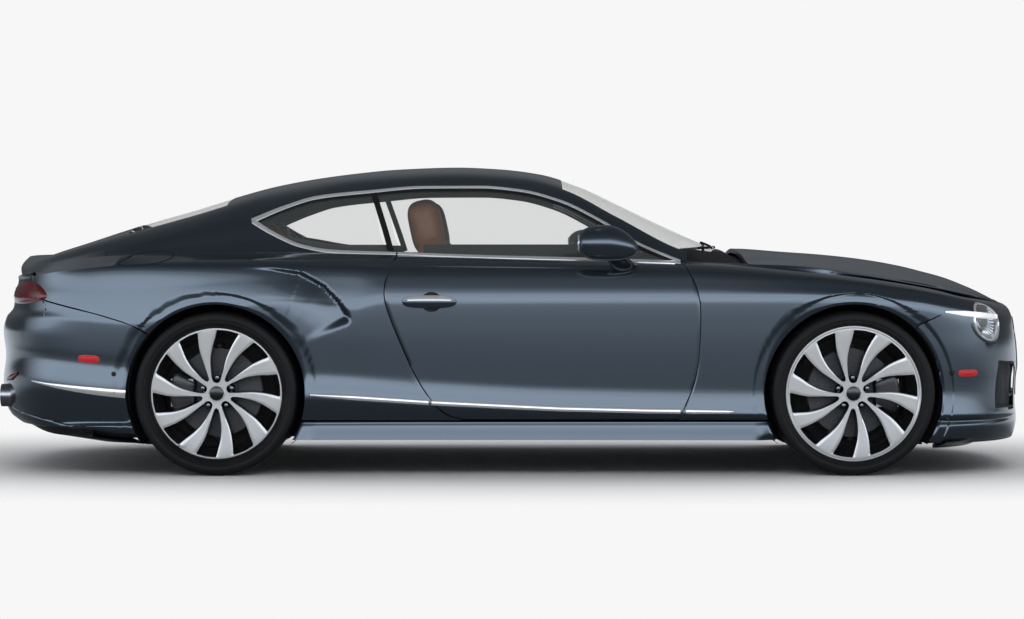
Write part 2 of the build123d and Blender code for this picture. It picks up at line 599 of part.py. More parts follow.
parts["front_seats"] = seat(-215, 385) + seat(-215, -385)
bench = plate([(-1010, CABIN_FLOOR), (-560, CABIN_FLOOR), (-570, 430), (-640, 470), (-960, 430),
               (-1130, 960), (-1214, 980), (-1214, 880), (-1010, 330)], -560, 560) - wheel_tubs
bench_head = None
for side in (-1, 1):
    lump = plate([(-1135, 950), (-1165, 1110), (-1225, 1105), (-1214, 940)], side * 330 - 120, side * 330 + 120)
    bench_head = lump if bench_head is None else bench_head + lump
parts["rear_bench"] = bench + bench_head
dash_side = [(900, 500), (900, 840), (830, 900), (560, 905), (470, 850), (480, 760), (600, 700), (700, 480)]
column_a, column_b = Vector(700, 375, 668), Vector(430, 375, 790)
column_dir = (column_b - column_a).normalized()
dash = plate(dash_side, -735, 735) + block(430, 700, -100, 100, 430, 760)
dash = dash + block(-500, 560, -105, 105, CABIN_FLOOR, 430) + block(-420, -60, -95, 95, 430, 560)
boss = Plane(origin=column_b, z_dir=column_dir) * Pos(0, 0, -60) * Cylinder(38, 180)
dash = dash + boss
wheel_hub = column_b + column_dir * 84
steering_plane = Plane(origin=wheel_hub, z_dir=column_dir)
shaft_hole = steering_plane * Pos(0, 0, -100) * Cylinder(14 + PIN_CLEAR, 200)
parts["dashboard"] = dash - shaft_hole
rim_solid = steering_plane * Torus(172, 15)
hub_solid = steering_plane * Pos(0, 0, -8) * Cylinder(62, 36)
spokes = steering_plane * Pos(0, 0, -4) * Box(34, 330, 14)
shaft = steering_plane * Pos(0, 0, -80) * Cylinder(14, 130)
parts["steering_wheel"] = rim_solid + hub_solid + spokes + shaft

# ---------------------------------------------------------------- files
for name, shape in parts.items():
    solids = solids_of(shape)
    export_step(solids[0] if len(solids) == 1 else Compound(solids), f"parts/{name}.step")
    print(name, len(solids), round(sum(s.volume for s in solids) / 1e6, 2), all(s.is_valid for s in solids))
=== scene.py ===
# %% [markdown]
# # A grand tourer coupe, dressed as a lesson
#
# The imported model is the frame: it fixes where each panel, wheel and hinge is. This script keeps the
# mechanical parts as they are and lays finely shaped skins where the plain panels stand, so that light
# runs along the creases as it does on a real car. All lengths are metres, +X is forward, +Y is left.

# %% Load the frame
import bmesh
import bpy
import math
import numpy as np
from mathutils import Matrix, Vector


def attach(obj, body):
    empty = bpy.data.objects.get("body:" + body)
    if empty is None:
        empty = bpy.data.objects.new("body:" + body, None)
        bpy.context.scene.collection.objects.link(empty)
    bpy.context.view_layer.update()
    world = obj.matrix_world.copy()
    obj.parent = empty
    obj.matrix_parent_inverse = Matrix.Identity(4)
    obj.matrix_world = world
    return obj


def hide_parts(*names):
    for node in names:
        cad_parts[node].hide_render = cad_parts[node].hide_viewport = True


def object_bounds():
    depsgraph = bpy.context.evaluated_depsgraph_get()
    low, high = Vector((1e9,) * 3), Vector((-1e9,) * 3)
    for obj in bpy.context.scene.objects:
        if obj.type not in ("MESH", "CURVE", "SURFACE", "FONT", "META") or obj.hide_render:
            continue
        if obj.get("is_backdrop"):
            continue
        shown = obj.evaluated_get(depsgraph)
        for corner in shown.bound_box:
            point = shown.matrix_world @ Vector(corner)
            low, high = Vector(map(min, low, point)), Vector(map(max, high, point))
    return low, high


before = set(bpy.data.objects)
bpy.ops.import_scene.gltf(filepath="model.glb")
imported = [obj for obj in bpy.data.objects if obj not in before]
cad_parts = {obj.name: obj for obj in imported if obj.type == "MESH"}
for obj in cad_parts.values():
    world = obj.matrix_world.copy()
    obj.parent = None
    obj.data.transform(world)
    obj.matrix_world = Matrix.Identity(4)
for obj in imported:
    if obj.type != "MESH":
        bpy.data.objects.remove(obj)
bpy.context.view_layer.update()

# %% [markdown]
# ## Driving sizes
# A car body is described by a few lines that run its whole length. Their sizes are named here once.
# The sill, doors and wings share them, so that panels meet at even gaps.

# %% Driving sizes
FRONT_AXLE, REAR_AXLE, AXLE_Z = 1.535, -1.316, 0.368
ARCH_R, FLARE_R = 0.400, 0.452
SHUT_GAP = 0.0028
FRONT_SWEEP, REAR_SWEEP = 1.80, -1.86
NOSE_POWER, TAIL_POWER = 2.35, 2.45
LEFT, RIGHT = 1, -1
SIDES = (("left", LEFT), ("right", RIGHT))

# %% [markdown]
# ## Smooth lines through a few points
# A designer's tape line passes through its points and never wiggles between them. Monotone cubic
# interpolation does the same: each slope is a weighted harmonic mean of its neighbours' slopes, and it is
# zero at a peak, so no overshoot appears.

# %% Monotone cubic interpolation
def slopes(h, delta):
    """End-to-end slopes for monotone cubics: the harmonic mean of neighbouring chords where they
    agree in sign, else zero. h is the knot spacing, delta the chord slopes, both on the last axis."""
    a, b = delta[..., :-1], delta[..., 1:]
    w1, w2 = 2 * h[1:] + h[:-1], h[1:] + 2 * h[:-1]
    same = a * b > 0
    inner = np.where(same, (w1 + w2) / (w1 / np.where(same, a, 1) + w2 / np.where(same, b, 1)), 0.0)
    return np.concatenate([delta[..., :1], inner, delta[..., -1:]], axis=-1)


def hermite(t, h, p0, p1, m0, m1):
    """Cubic Hermite blend of two ends p0, p1 with slopes m0, m1 over a span h, at fraction t."""
    t2, t3 = t * t, t * t * t
    return ((2 * t3 - 3 * t2 + 1) * p0 + (t3 - 2 * t2 + t) * h * m0
            + (3 * t2 - 2 * t3) * p1 + (t3 - t2) * h * m1)


def line(*knots):
    """A smooth line through (x, value) knots, held constant beyond its ends."""
    xk, yk = np.array(knots, float).T
    m = slopes(np.diff(xk), np.diff(yk) / np.diff(xk))

    def at(x):
        """Value of the line at x."""
        x = np.clip(np.asarray(x, float), xk[0], xk[-1])
        i = np.clip(np.searchsorted(xk, x, side="right") - 1, 0, len(xk) - 2)
        h = xk[i + 1] - xk[i]
        return hermite((x - xk[i]) / h, h, yk[i], yk[i + 1], m[i], m[i + 1])
    return at


def smoothstep(t):
    """0 below 0, 1 above 1, and a smooth S between."""
    t = np.clip(t, 0, 1)
    return t * t * (3 - 2 * t)


# %% [markdown]
# ## The body's long lines
# Each line below is one tape line of the car, as y or z over x. The widest line swells at the rear wheels
# into the haunch. The rail is the line where flank meets glass, hood or lid. Past each axle the plan
# closes like a squared ellipse, so the corners are round but full.

# %% The long lines of the lower body
wide_y = line((-1.86, .957), (-1.6, .977), (-1.316, .983), (-1.0, .975), (-.75, .958), (-.5, .949),
              (-.2, .946), (.3, .944), (.8, .944), (1.2, .949), (1.535, .953), (1.8, .947))
bottom_z = line((-2.4, .300), (-2.28, .262), (-2.15, .232), (-1.95, .196), (-1.7, .170), (-.95, .163),
                (1.1, .160), (1.9, .143), (2.4, .143))
strip_z = line((-2.3, .448), (-1.72, .388), (-.9, .363), (-.346, .3275), (.22, .3007), (.99, .287),
               (2.4, .28))
power_z = line((-2.4, .70), (-2.15, .702), (-1.9, .686), (-1.69, .672), (-1.5, .70), (-1.25, .745),
               (-1.05, .763), (-.9, .757), (-.78, .745), (-.70, .738), (-.62, .757), (-.55, .770),
               (1.2, .773), (1.535, .765), (1.8, .74), (2.1, .69), (2.4, .66))
crest_z = line((-2.4, .865), (-2.2, .902), (-2.0, .928), (-1.6, .943), (-1.1, .941), (-.8, .934),
               (-.5, .923), (.3, .920), (.8, .917), (1.2, .897), (1.535, .868), (1.8, .832), (2.0, .797),
               (2.2, .762), (2.36, .728))
rail_y = line((-1.86, .722), (-1.5, .752), (-1.2, .775), (-.9, .788), (-.5, .797), (.3, .802),
              (.8, .797), (1.08, .790), (1.53, .770), (1.8, .740))
rail_z = line((-2.4, .866), (-2.3, .884), (-2.17, .908), (-2.07, .943), (-1.84, .982), (-1.5, .994),
              (-1.2, .997), (-.9, .997), (-.5, .990), (0, .978), (.4, .966), (.75, .957), (1.08, .938),
              (1.21, .926), (1.527, .894), (1.75, .863), (1.93, .829), (2.04, .800), (2.2, .776),
              (2.36, .744))
nose_x = line((.14, 2.385), (.235, 2.40), (.30, 2.392), (.41, 2.394), (.48, 2.402), (.56, 2.398),
              (.65, 2.385), (.70, 2.376), (.745, 2.358), (.80, 2.30))
tail_x = line((.15, -2.265), (.205, -2.285), (.26, -2.360), (.32, -2.388), (.41, -2.396), (.52, -2.384),
              (.64, -2.396), (.70, -2.380), (.745, -2.345), (.81, -2.338), (.87, -2.322), (.93, -2.338),
              (1.0, -2.310))

# %% The long lines of the greenhouse
glass_low_z = line((-1.1735, 1.1436), (-1.08, 1.088), (-.9465, 1.030), (-.806, 1.006), (-.508, .996),
                   (-.1376, .983), (.4047, .969), (.77, .957))
glass_top_z = line((-1.1735, 1.1436), (-1.02, 1.207), (-.886, 1.248), (-.64, 1.276), (-.394, 1.296),
                   (-.139, 1.297), (.0435, 1.281), (.226, 1.233), (.408, 1.144), (.59, 1.033),
                   (.77, .957))
side_top_y = line((-2.36, .600), (-2.1, .640), (-1.84, .668), (-1.494, .700), (-1.1735, .676),
                  (-.72, .626), (-.24, .603), (.06, .612), (.246, .640), (.49, .702), (.77, .790),
                  (.98, .775))
side_top_z = line((-2.36, .915), (-2.25, .932), (-2.1, .955), (-1.84, 1.012), (-1.494, 1.082),
                  (-1.1735, 1.166), (-.886, 1.248), (-.64, 1.276), (-.394, 1.296), (-.139, 1.297),
                  (.0435, 1.281), (.226, 1.233), (.408, 1.144), (.59, 1.033), (.77, .960), (.98, .950),
                  (1.3, .935), (1.53, .905), (1.93, .838), (2.2, .785), (2.36, .748))
gutter_y = line((-2.36, .520), (-2.1, .550), (-1.84, .570), (-1.494, .560), (-1.11, .535), (-.72, .515),
                (-.24, .505), (.06, .520), (.246, .562), (.49, .640), (.77, .735), (.98, .748),
                (1.2, .600), (1.6, .520), (2.36, .48))
gutter_z = line((-2.36, .935), (-2.25, .955), (-2.1, .990), (-1.84, 1.060), (-1.494, 1.155),
                (-1.11, 1.264), (-.72, 1.330), (-.24, 1.357), (.06, 1.338), (.246, 1.288), (.49, 1.160),
                (.77, 1.014), (.98, .955), (1.3, .962), (1.53, .945), (1.93, .875), (2.2, .800),
                (2.36, .748))
crown_z = line((-2.36, .945), (-2.339, .975), (-2.29, .986), (-2.19, .991), (-2.09, 1.022),
               (-1.99, 1.054), (-1.84, 1.105), (-1.70, 1.150), (-1.51, 1.204), (-1.314, 1.264),
               (-1.12, 1.317), (-.93, 1.353), (-.73, 1.380), (-.54, 1.398), (-.25, 1.408), (-.06, 1.400),
               (.135, 1.376), (.33, 1.316), (.52, 1.228), (.715, 1.135), (.91, 1.048), (.985, 1.020),
               (1.10, 1.018), (1.295, 1.004), (1.49, .990), (1.68, .969), (1.875, .935), (1.97, .911),
               (2.07, .884), (2.165, .848), (2.26, .806), (2.34, .760), (2.366, .744))
print("roof peak", float(crown_z(-.25)), "widest", float(wide_y(-1.316)))

# %% [markdown]
# ## One section, one surface
# At any x the car's half section is a row of points from the sill's underside up the flank, over the
# shoulder, up the glass and across the roof. A monotone cubic through them gives the whole skin as a
# function of x and a row number s. Rows that lie close together make a crease, and rows that lie far apart
# a soft face. Row 0 is the underside, and the three named rows below bound flank, side glass and roof.

# %% The master surface
RAIL, TOP, CROWN = 12, 14, 17


def sweep(x, z):
    """How far the plan has closed at x: a squared ellipse from the start of each end's sweep to the
    nose or tail line at height z, 1 amidships and 0 at the very end."""
    front = np.clip((x - FRONT_SWEEP) / (nose_x(z) - FRONT_SWEEP), 0, 1)
    rear = np.clip((REAR_SWEEP - x) / (REAR_SWEEP - tail_x(z)), 0, 1)
    return (1 - front ** NOSE_POWER) ** (1 / NOSE_POWER) * (1 - rear ** TAIL_POWER) ** (1 / TAIL_POWER)


def section_rows(x):
    """The rows of the half section at each x, as y and z arrays with the row on the last axis."""
    w, b, p, c = wide_y(x), bottom_z(x), power_z(x), crest_z(x)
    ry, rz, sz = rail_y(x), rail_z(x), strip_z(x)
    ty, tz, gy, gz, cz = side_top_y(x), side_top_z(x), gutter_y(x), gutter_z(x), crown_z(x)
    seam = np.full_like(w, .245)
    over = cz - .36 * (cz - gz)
    sill = smoothstep((1.22 - np.abs(x)) / .12)
    y = [w - .055 + .050 * sill, w - .012 + .0045 * sill, w - .006 - .0055 * sill, w - .016, w + .008,
         w - .004, w - .0015, w, w - .0028, w - .0155, w - .037, ry + .36 * (w - .037 - ry), ry,
         ry + .30 * (ty - ry), ty, gy, .6 * gy, 0 * w, -.6 * gy]
    z = [b, b + .030 - .007 * sill, seam - .022, seam, sz - .010, sz + .105, p - .12, p, p + .036,
         .5 * (p + .036 + c), c, .32 * c + .68 * rz + .006, rz, rz + .25 * (tz - rz), tz, gz, over, cz, over]
    return np.stack(y, -1), np.stack(z, -1)


def section(x, s):
    """The half section at station x and row s before the plan closes in at the ends: y and z."""
    x, s = np.broadcast_arrays(np.asarray(x, float), np.asarray(s, float))
    ys, zs = section_rows(x)
    h = np.ones(ys.shape[-1] - 1)
    i = np.clip(np.floor(s).astype(int), 0, ys.shape[-1] - 2)

    def pick(a, k):
        """Values of a at row k."""
        return np.take_along_axis(a, k[..., None], -1)[..., 0]
    out = []
    for rows in (ys, zs):
        m = slopes(h, np.diff(rows, axis=-1))
        out.append(hermite(s - i, 1.0, pick(rows, i), pick(rows, i + 1), pick(m, i), pick(m, i + 1)))
    return out


def skin(x, s):
    """Point of the left half skin before the wheel flares: the section with the plan closed in."""
    y, z = section(x, s)
    return y * sweep(x, z), z


def row_at(x, z, low=0.0, high=12.0):
    """Row number s at which the skin at x has height z, found by halving."""
    x, z = np.broadcast_arrays(np.asarray(x, float), np.asarray(z, float))
    a, b = np.full(x.shape, float(low)), np.full(x.shape, float(high))
    for _ in range(17):
        mid = (a + b) / 2
        under = section(x, mid)[1] < z
        a, b = np.where(under, mid, a), np.where(under, b, mid)
    return (a + b) / 2


def nearest_on(px, pz, path):
    """Distance from points to an open polyline in the side view, the fraction along it, and its side."""
    path = np.array(path, float)
    a = path[:-1]
    d = path[1:] - a
    q = np.stack([px, pz], -1)[..., None, :] - a
    t = np.clip((q * d).sum(-1) / (d * d).sum(-1), 0, 1)
    gap = np.linalg.norm(q - t[..., None] * d, axis=-1)
    seg = gap.argmin(-1)[..., None]
    side = np.take_along_axis(q[..., 0] * d[:, 1] - q[..., 1] * d[:, 0], seg, -1)[..., 0]
    along = (seg[..., 0] + np.take_along_axis(t, seg, -1)[..., 0]) / len(a)
    return gap.min(-1), along, np.sign(side)


HAUNCH_BLADE = [(-.705, .692), (-.725, .735), (-.765, .79), (-.83, .857), (-.93, .913), (-1.06, .934),
                (-1.25, .942)]


def relief(x, z):
    """Pressed-in details of the flank, as a change of y: a ring around each wheel arch stands 5 mm
    in, its lip rolls in a little more, and a scoop along the haunch's blade fades over 110 mm."""
    out = np.zeros(np.broadcast(x, z).shape)
    for axle in (FRONT_AXLE, REAR_AXLE):
        r = np.hypot(x - axle, z - AXLE_Z)
        out = out - .0055 * smoothstep((FLARE_R - r) / .007) - .006 * smoothstep((ARCH_R + .010 - r) / .010)
    near = (x < -.55) & (x > -1.4)
    d, along, side = nearest_on(x, z, HAUNCH_BLADE)
    scoop = -.027 * smoothstep(d / .016) * np.exp(-(d / .095) ** 1.5)
    taper = smoothstep(along / .12) * smoothstep((1 - along) / .5)
    return out + np.where(near & (side < 0), scoop * taper, 0.0)


def xyz(x, y, z):
    """Three coordinates stretched to one shape and stacked as points."""
    return np.stack(np.broadcast_arrays(x, y, z), -1)


def flank(x, s):
    """Finished flank point."""
    x, s = np.broadcast_arrays(x, s)
    y, z = skin(x, s)
    return xyz(x, y + relief(x, z) * smoothstep((RAIL - s) / 1.0), z)


# %% [markdown]
# ## From arrays to meshes
# Every panel is a grid of points. The helper below turns it into faces in one call, without touching
# vertices one by one. A pressed panel has its edge folded in, so each grid gets a hem: three more rings
# that turn the corner over a 1.6 mm radius and run back as a flange.

# %% Mesh helpers
MATERIALS = {}


def smooth(mesh, angle):
    """Smooth shading, with edges sharper than the angle kept sharp."""
    mesh.polygons.foreach_set("use_smooth", [True] * len(mesh.polygons))
    mesh.set_sharp_from_angle(angle=math.radians(angle))


def mesh_from(name, points, faces, material, body="body", angle=35, replaces=None):
    """One object from joined points and faces, shaded smooth up to an angle, riding on a body, and
    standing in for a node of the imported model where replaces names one."""
    mesh = bpy.data.meshes.new(name)
    mesh.from_pydata(np.asarray(points).reshape(-1, 3), [], faces)
    mesh.update()
    smooth(mesh, angle)
    obj = bpy.data.objects.new(name, mesh)
    bpy.context.scene.collection.objects.link(obj)
    mesh.materials.append(MATERIALS[material])
    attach(obj, body)
    if replaces:
        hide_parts(replaces)
    return obj


def grid_faces(rows, cols, wrap_rows=False, wrap_cols=False, flip=False, keep=None):
    """Quads of a grid of points: each joins a point to its right and upper neighbours."""
    i, j = lattice(np.arange(rows if wrap_rows else rows - 1), np.arange(cols if wrap_cols else cols - 1))
    i2, j2 = (i + 1) % rows, (j + 1) % cols
    quads = np.stack([i * cols + j, i2 * cols + j, i2 * cols + j2, i * cols + j2], -1)
    if keep is not None:
        quads = quads[keep]
    quads = quads.reshape(-1, 4)
    return quads[:, ::-1] if flip else quads


def lattice(a, b):
    """Two axes as the two coordinate arrays of a grid."""
    return np.meshgrid(a, b, indexing="ij")


def grid_normals(p):
    """Unit normals of a grid from the cross product of its two directions."""
    n = np.cross(np.gradient(p, axis=0), np.gradient(p, axis=1))
    return n / np.maximum(np.linalg.norm(n, axis=-1, keepdims=True), 1e-12)


def looks_in(p, outward):
    """True when a grid's normals point against outward on the whole."""
    return bool((grid_normals(p) * np.array(outward, float)).sum() < 0)


def rework(obj, merge=0.0, outwards=False, trim=False):
    """Merges points nearer than merge, turns all faces outwards, or drops stray points and keeps the
    borders sharp."""
    bm = bmesh.new()
    bm.from_mesh(obj.data)
    if merge:
        bmesh.ops.remove_doubles(bm, verts=bm.verts, dist=merge)
    if trim:
        bmesh.ops.delete(bm, geom=[v for v in bm.verts if not v.link_faces], context="VERTS")
        for edge in bm.edges:
            edge.smooth = edge.smooth and not edge.is_boundary
    if outwards:
        bmesh.ops.recalc_face_normals(bm, faces=bm.faces)
    bm.to_mesh(obj.data)
    bm.free()


def mirror(p, side):
    """Left-hand points as they are for side 1, mirrored in y for side -1."""
    return p * np.array([1, side, 1])


def hem(p, outward, depth, radius=.0016):
    """Grid with a folded edge: each border row is carried on by three rows which turn the corner and
    run back by depth, against the normal."""
    n = -grid_normals(p) if looks_in(p, outward) else grid_normals(p)
    for axis in (0, 1):
        p, n = np.moveaxis(p, axis, 0), np.moveaxis(n, axis, 0)
        rings = []
        for edge, inner, normal in ((p[0], p[1], n[0]), (p[-1], p[-2], n[-1])):
            out = edge - inner
            out = out / np.maximum(np.linalg.norm(out, axis=-1, keepdims=True), 1e-9)
            rings.append([edge + out * radius * .55 - normal * radius * .35,
                          edge + out * radius * .9 - normal * radius * 1.3,
                          edge + out * radius * .9 - normal * depth])
        p = np.moveaxis(np.concatenate([rings[0][::-1], p, rings[1]]), 0, axis)
        n = np.moveaxis(np.concatenate([[n[0]] * 3, n, [n[-1]] * 3]), 0, axis)
    return p


def panel(name, p, outward, material="paint", body="body", angle=35, replaces=None, **wrap):
    """A grid as an object, with its faces turned towards outward."""
    faces = grid_faces(*p.shape[:2], flip=looks_in(p, outward), **wrap)
    return mesh_from(name, p, faces, material, body, angle, replaces=replaces)


def pair(name, p, outward, material="paint", body="body", angle=35, replaces=None, **wrap):
    """A left panel and its mirror image. {side} in body and replaces stands for left or right."""
    return [panel(name + "_" + word, mirror(p, side), mirror(outward, side), material,
                  body.format(side=word), angle, replaces and replaces.format(side=word), **wrap)
            for word, side in SIDES]


def closed(name, p, material, body="body", angle=50, replaces=None, **wrap):
    """A grid that closes on itself round its rings, with all its faces turned outwards."""
    wrap = wrap or {"wrap_cols": True}
    obj = mesh_from(name, p, grid_faces(*p.shape[:2], **wrap), material, body, angle, replaces=replaces)
    rework(obj, outwards=True)
    return obj


def joined(name, parts, material, body="body", angle=35, reach=.0004, trim=False):
    """Several grids as one object. Each part is a grid, the way its faces look, and for a grid with
    openings the quads to keep. Points nearer than reach are merged, so patches that share a border
    become one skin."""
    points, faces, start = [], [], 0
    for p, outward, *keep in parts:
        quads = grid_faces(*p.shape[:2], flip=looks_in(p, outward), keep=keep[0] if keep else None)
        faces += (quads + start).tolist()
        points.append(p.reshape(-1, 3))
        start += p.shape[0] * p.shape[1]
    obj = mesh_from(name, np.concatenate(points), faces, material, body, angle)
    rework(obj, reach, trim=trim)
    if not trim:
        smooth(obj.data, angle)
    return obj


def wall(obj, thickness):
    """Gives a sheet a thickness, inwards."""
    thick = obj.modifiers.new("wall", "SOLIDIFY")
    thick.thickness, thick.offset = thickness, -1


def resample(points, count):
    """Points spaced evenly along a polyline."""
    points = np.array(points, float)
    run = np.concatenate([[0], np.cumsum(np.linalg.norm(np.diff(points, axis=0), axis=1))])
    t = np.linspace(0, run[-1], count)
    return np.stack([np.interp(t, run, points[:, k]) for k in range(points.shape[1])], -1)


def rounded(points, count, passes=2):
    """A polyline with its corners cut at a quarter of each side, passes times, then spaced evenly."""
    p = np.array(points, float)
    for _ in range(passes):
        q = .75 * p[:-1] + .25 * p[1:]
        r = .25 * p[:-1] + .75 * p[1:]
        p = np.concatenate([p[:1], np.stack([q, r], 1).reshape(-1, p.shape[1]), p[-1:]])
    return resample(p, count)


def fill(low, high, left, right):
    """Skin grid between four (x, s) borders, as a Coons patch: the two straight blends between
    opposite borders, less the bilinear blend of the corners. low and high run along axis 0."""
    u = np.linspace(0, 1, len(low))[:, None, None]
    v = np.linspace(0, 1, len(left))[None, :, None]
    a = (1 - v) * low[:, None] + v * high[:, None]
    b = (1 - u) * left[None] + u * right[None]
    c = (1 - u) * ((1 - v) * low[0] + v * high[0]) + u * ((1 - v) * low[-1] + v * high[-1])
    q = a + b - c
    return flank(q[..., 0], q[..., 1])


def turn(count):
    """Even angles once round."""
    return np.linspace(0, 2 * math.pi, count, endpoint=False)


def signed_power(w, power):
    """Power of the absolute value, with the sign put back."""
    return np.sign(w) * np.abs(w) ** power


def arch(axle, start, stop, count, radius=ARCH_R):
    """Side-view points of a wheel arch between two angles in degrees from straight ahead."""
    a = np.radians(np.linspace(start, stop, count))
    return np.stack([axle + radius * np.cos(a), AXLE_Z + radius * np.sin(a)], -1)


# %% [markdown]
# ## Finishes
# Car paint is three layers: a coloured base with metal flakes that tilt by chance, and a hard clear coat
# whose gloss sits on top. The flakes are a fine noise that nudges the brightness, and the clear coat is the
# shader's own coat layer. Other finishes here follow the same habit: a noise pattern at the scale of the
# real surface, on object coordinates, so nothing slides.

# %% Node helpers
def feed(tree, made, inputs):
    """Sets a node's sockets: each gets a link from another node's output, or a value."""
    for key, value in inputs.items():
        if isinstance(value, bpy.types.NodeSocket):
            tree.links.new(value, made.inputs[key])
        else:
            made.inputs[key].default_value = value


def node(tree, kind, inputs={}, **settings):
    """A new shader node with its settings, and its sockets fed."""
    made = tree.nodes.new("ShaderNode" + kind)
    for key, value in settings.items():
        setattr(made, key, value)
    feed(tree, made, inputs)
    return made


def new_material(name):
    """A node material under its own name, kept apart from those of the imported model: the material,
    its tree and its principled node."""
    mat = MATERIALS[name] = bpy.data.materials.new("dressed_" + name)
    mat.use_nodes = True
    return mat, mat.node_tree, mat.node_tree.nodes["Principled BSDF"]


def where(tree):
    """The object coordinates of the shaded point."""
    return node(tree, "TexCoord").outputs["Object"]


# %% Material helper
def shader(name, color, rough, metal=0.0, grain=100, bump=0.0, spread=0.0, **sockets):
    """A principled material whose colour wavers by spread, and whose bump follows the same noise of
    grain cycles per metre. Uniform values go straight to the shader's sockets."""
    mat, tree, bsdf = new_material(name)
    feed(tree, bsdf, {"Base Color": (*color, 1), "Roughness": rough, "Metallic": metal})
    feed(tree, bsdf, {key.replace("_", " "): value for key, value in sockets.items()})
    noise = node(tree, "TexNoise", {"Scale": grain, "Detail": 3, "Vector": where(tree)}).outputs["Fac"]
    ramp = node(tree, "ValToRGB", {"Fac": noise})
    for stop, at, share in zip(ramp.color_ramp.elements, (.3, .7), (1 - spread, 1 + spread)):
        stop.color, stop.position = (*(min(1, c * share) for c in color), 1), at
    feed(tree, bsdf, {"Base Color": ramp.outputs["Color"]})
    if bump:
        dents = node(tree, "Bump", {"Strength": bump, "Distance": .001, "Height": noise})
        feed(tree, bsdf, {"Normal": dents.outputs["Normal"]})
    return mat, tree, bsdf


# %% Paint, trim, metal and rubber
shader("paint", (.062, .083, .106), .17, .80, 900, spread=.05, Coat_Weight=1.0, Coat_Roughness=.02,
       Coat_IOR=1.5)
shader("chrome", (.80, .81, .82), .10, .66, 40, .01, .02)
shader("dark_chrome", (.20, .21, .22), .16, 1.0, 60, .01, .05)
shader("black_plastic", (.012, .012, .013), .50, 0, 900, .25, .3, Specular_IOR_Level=.25)
shader("gloss_black", (.008, .009, .010), .12, 0, 30, 0, .2, Coat_Weight=.5, Coat_Roughness=.03)
shader("underbody", (.022, .022, .023), .8, 0, 240, .4, .35)
shader("alloy_face", (.66, .67, .68), .20, .45, 300, .02, .04)
shader("alloy_pocket", (.022, .023, .025), .22, .2, 200, 0, .15, Coat_Weight=.7, Coat_Roughness=.05)
shader("rubber", (.009, .009, .0095), .55, 0, 500, 0, .25, Specular_IOR_Level=.22)
shader("cast_iron", (.10, .10, .105), .55, .8, 260, .5, .25)
shader("steel", (.42, .43, .44), .26, 1.0, 180, .05, .1)
shader("caliper_paint", (.025, .025, .027), .35, .1, 150, .1, .2, Coat_Weight=.5)
shader("engine_metal", (.16, .16, .17), .5, .6, 180, .3, .3)
shader("red_lens", (.10, .004, .006), .16, 0, 50, 0, .1, Coat_Weight=.6, Specular_IOR_Level=.3)
shader("red_marker", (.56, .016, .018), .30, 0, 60, 0, .08, Coat_Weight=.25, Specular_IOR_Level=.3)
shader("lamp_bowl", (.75, .77, .80), .12, 1.0, 80, .02, .05)
shader("lamp_light", (.93, .94, .95), .25, 0, 60, 0, .02, Emission_Strength=.35,
       Emission_Color=(1, 1, 1, 1))
shader("headliner", (.055, .05, .047), .9, 0, 1500, .5, .25, Sheen_Weight=.4)
shader("carpet", (.03, .028, .027), .95, 0, 1800, .8, .4, Sheen_Weight=.5)
shader("dash_vinyl", (.03, .028, .027), .55, 0, 1400, .4, .2)
shader("plate_white", (.75, .75, .73), .4, 0, 20, 0, .03, Coat_Weight=.5)

# %% [markdown]
# ## Glass and leather
# Window glass is two things at once: it lets light through nearly unchanged, and it mirrors the room more
# and more towards grazing angles. The Fresnel share drives how solid the glass is, and unlike refraction
# this lets lamps light the seats. Leather is pebbled: cells with soft creases between.

# %% Glass and leather
def glass(name, tint, mirrored, most):
    """See-through glass: its mirror share runs from a floor to most with the Fresnel share."""
    mat, tree, bsdf = new_material(name)
    fresnel = node(tree, "LayerWeight", {"Blend": .25}).outputs["Fresnel"]
    share = node(tree, "MapRange", {"To Min": mirrored, "To Max": most, "Value": fresnel})
    feed(tree, bsdf, {"Base Color": (*tint, 1), "Roughness": .02, "Specular IOR Level": 1.0,
                      "Coat Weight": 1.0, "Alpha": share.outputs["Result"]})


def leather(name, color):
    """Pebbled leather: distance to the nearest cell edge makes the creases, and slow noise the tone."""
    mat, tree, bsdf = shader(name, color, .46, 0, 9, 0, .12, Sheen_Weight=.15, Coat_Weight=.12)
    cells = node(tree, "TexVoronoi", {"Scale": 420, "Vector": where(tree)}, feature="DISTANCE_TO_EDGE")
    crease = node(tree, "Bump", {"Strength": .35, "Distance": .0008, "Height": cells.outputs["Distance"]})
    feed(tree, bsdf, {"Normal": crease.outputs["Normal"]})


glass("window_glass", (.30, .34, .34), .14, .95)
glass("screen_glass", (.62, .65, .66), .06, .34)
glass("lamp_glass", (.80, .84, .86), .10, .95)
leather("brown_leather", (.26, .105, .040))
leather("dark_leather", (.045, .036, .030))
print("finishes", len(bpy.data.materials))
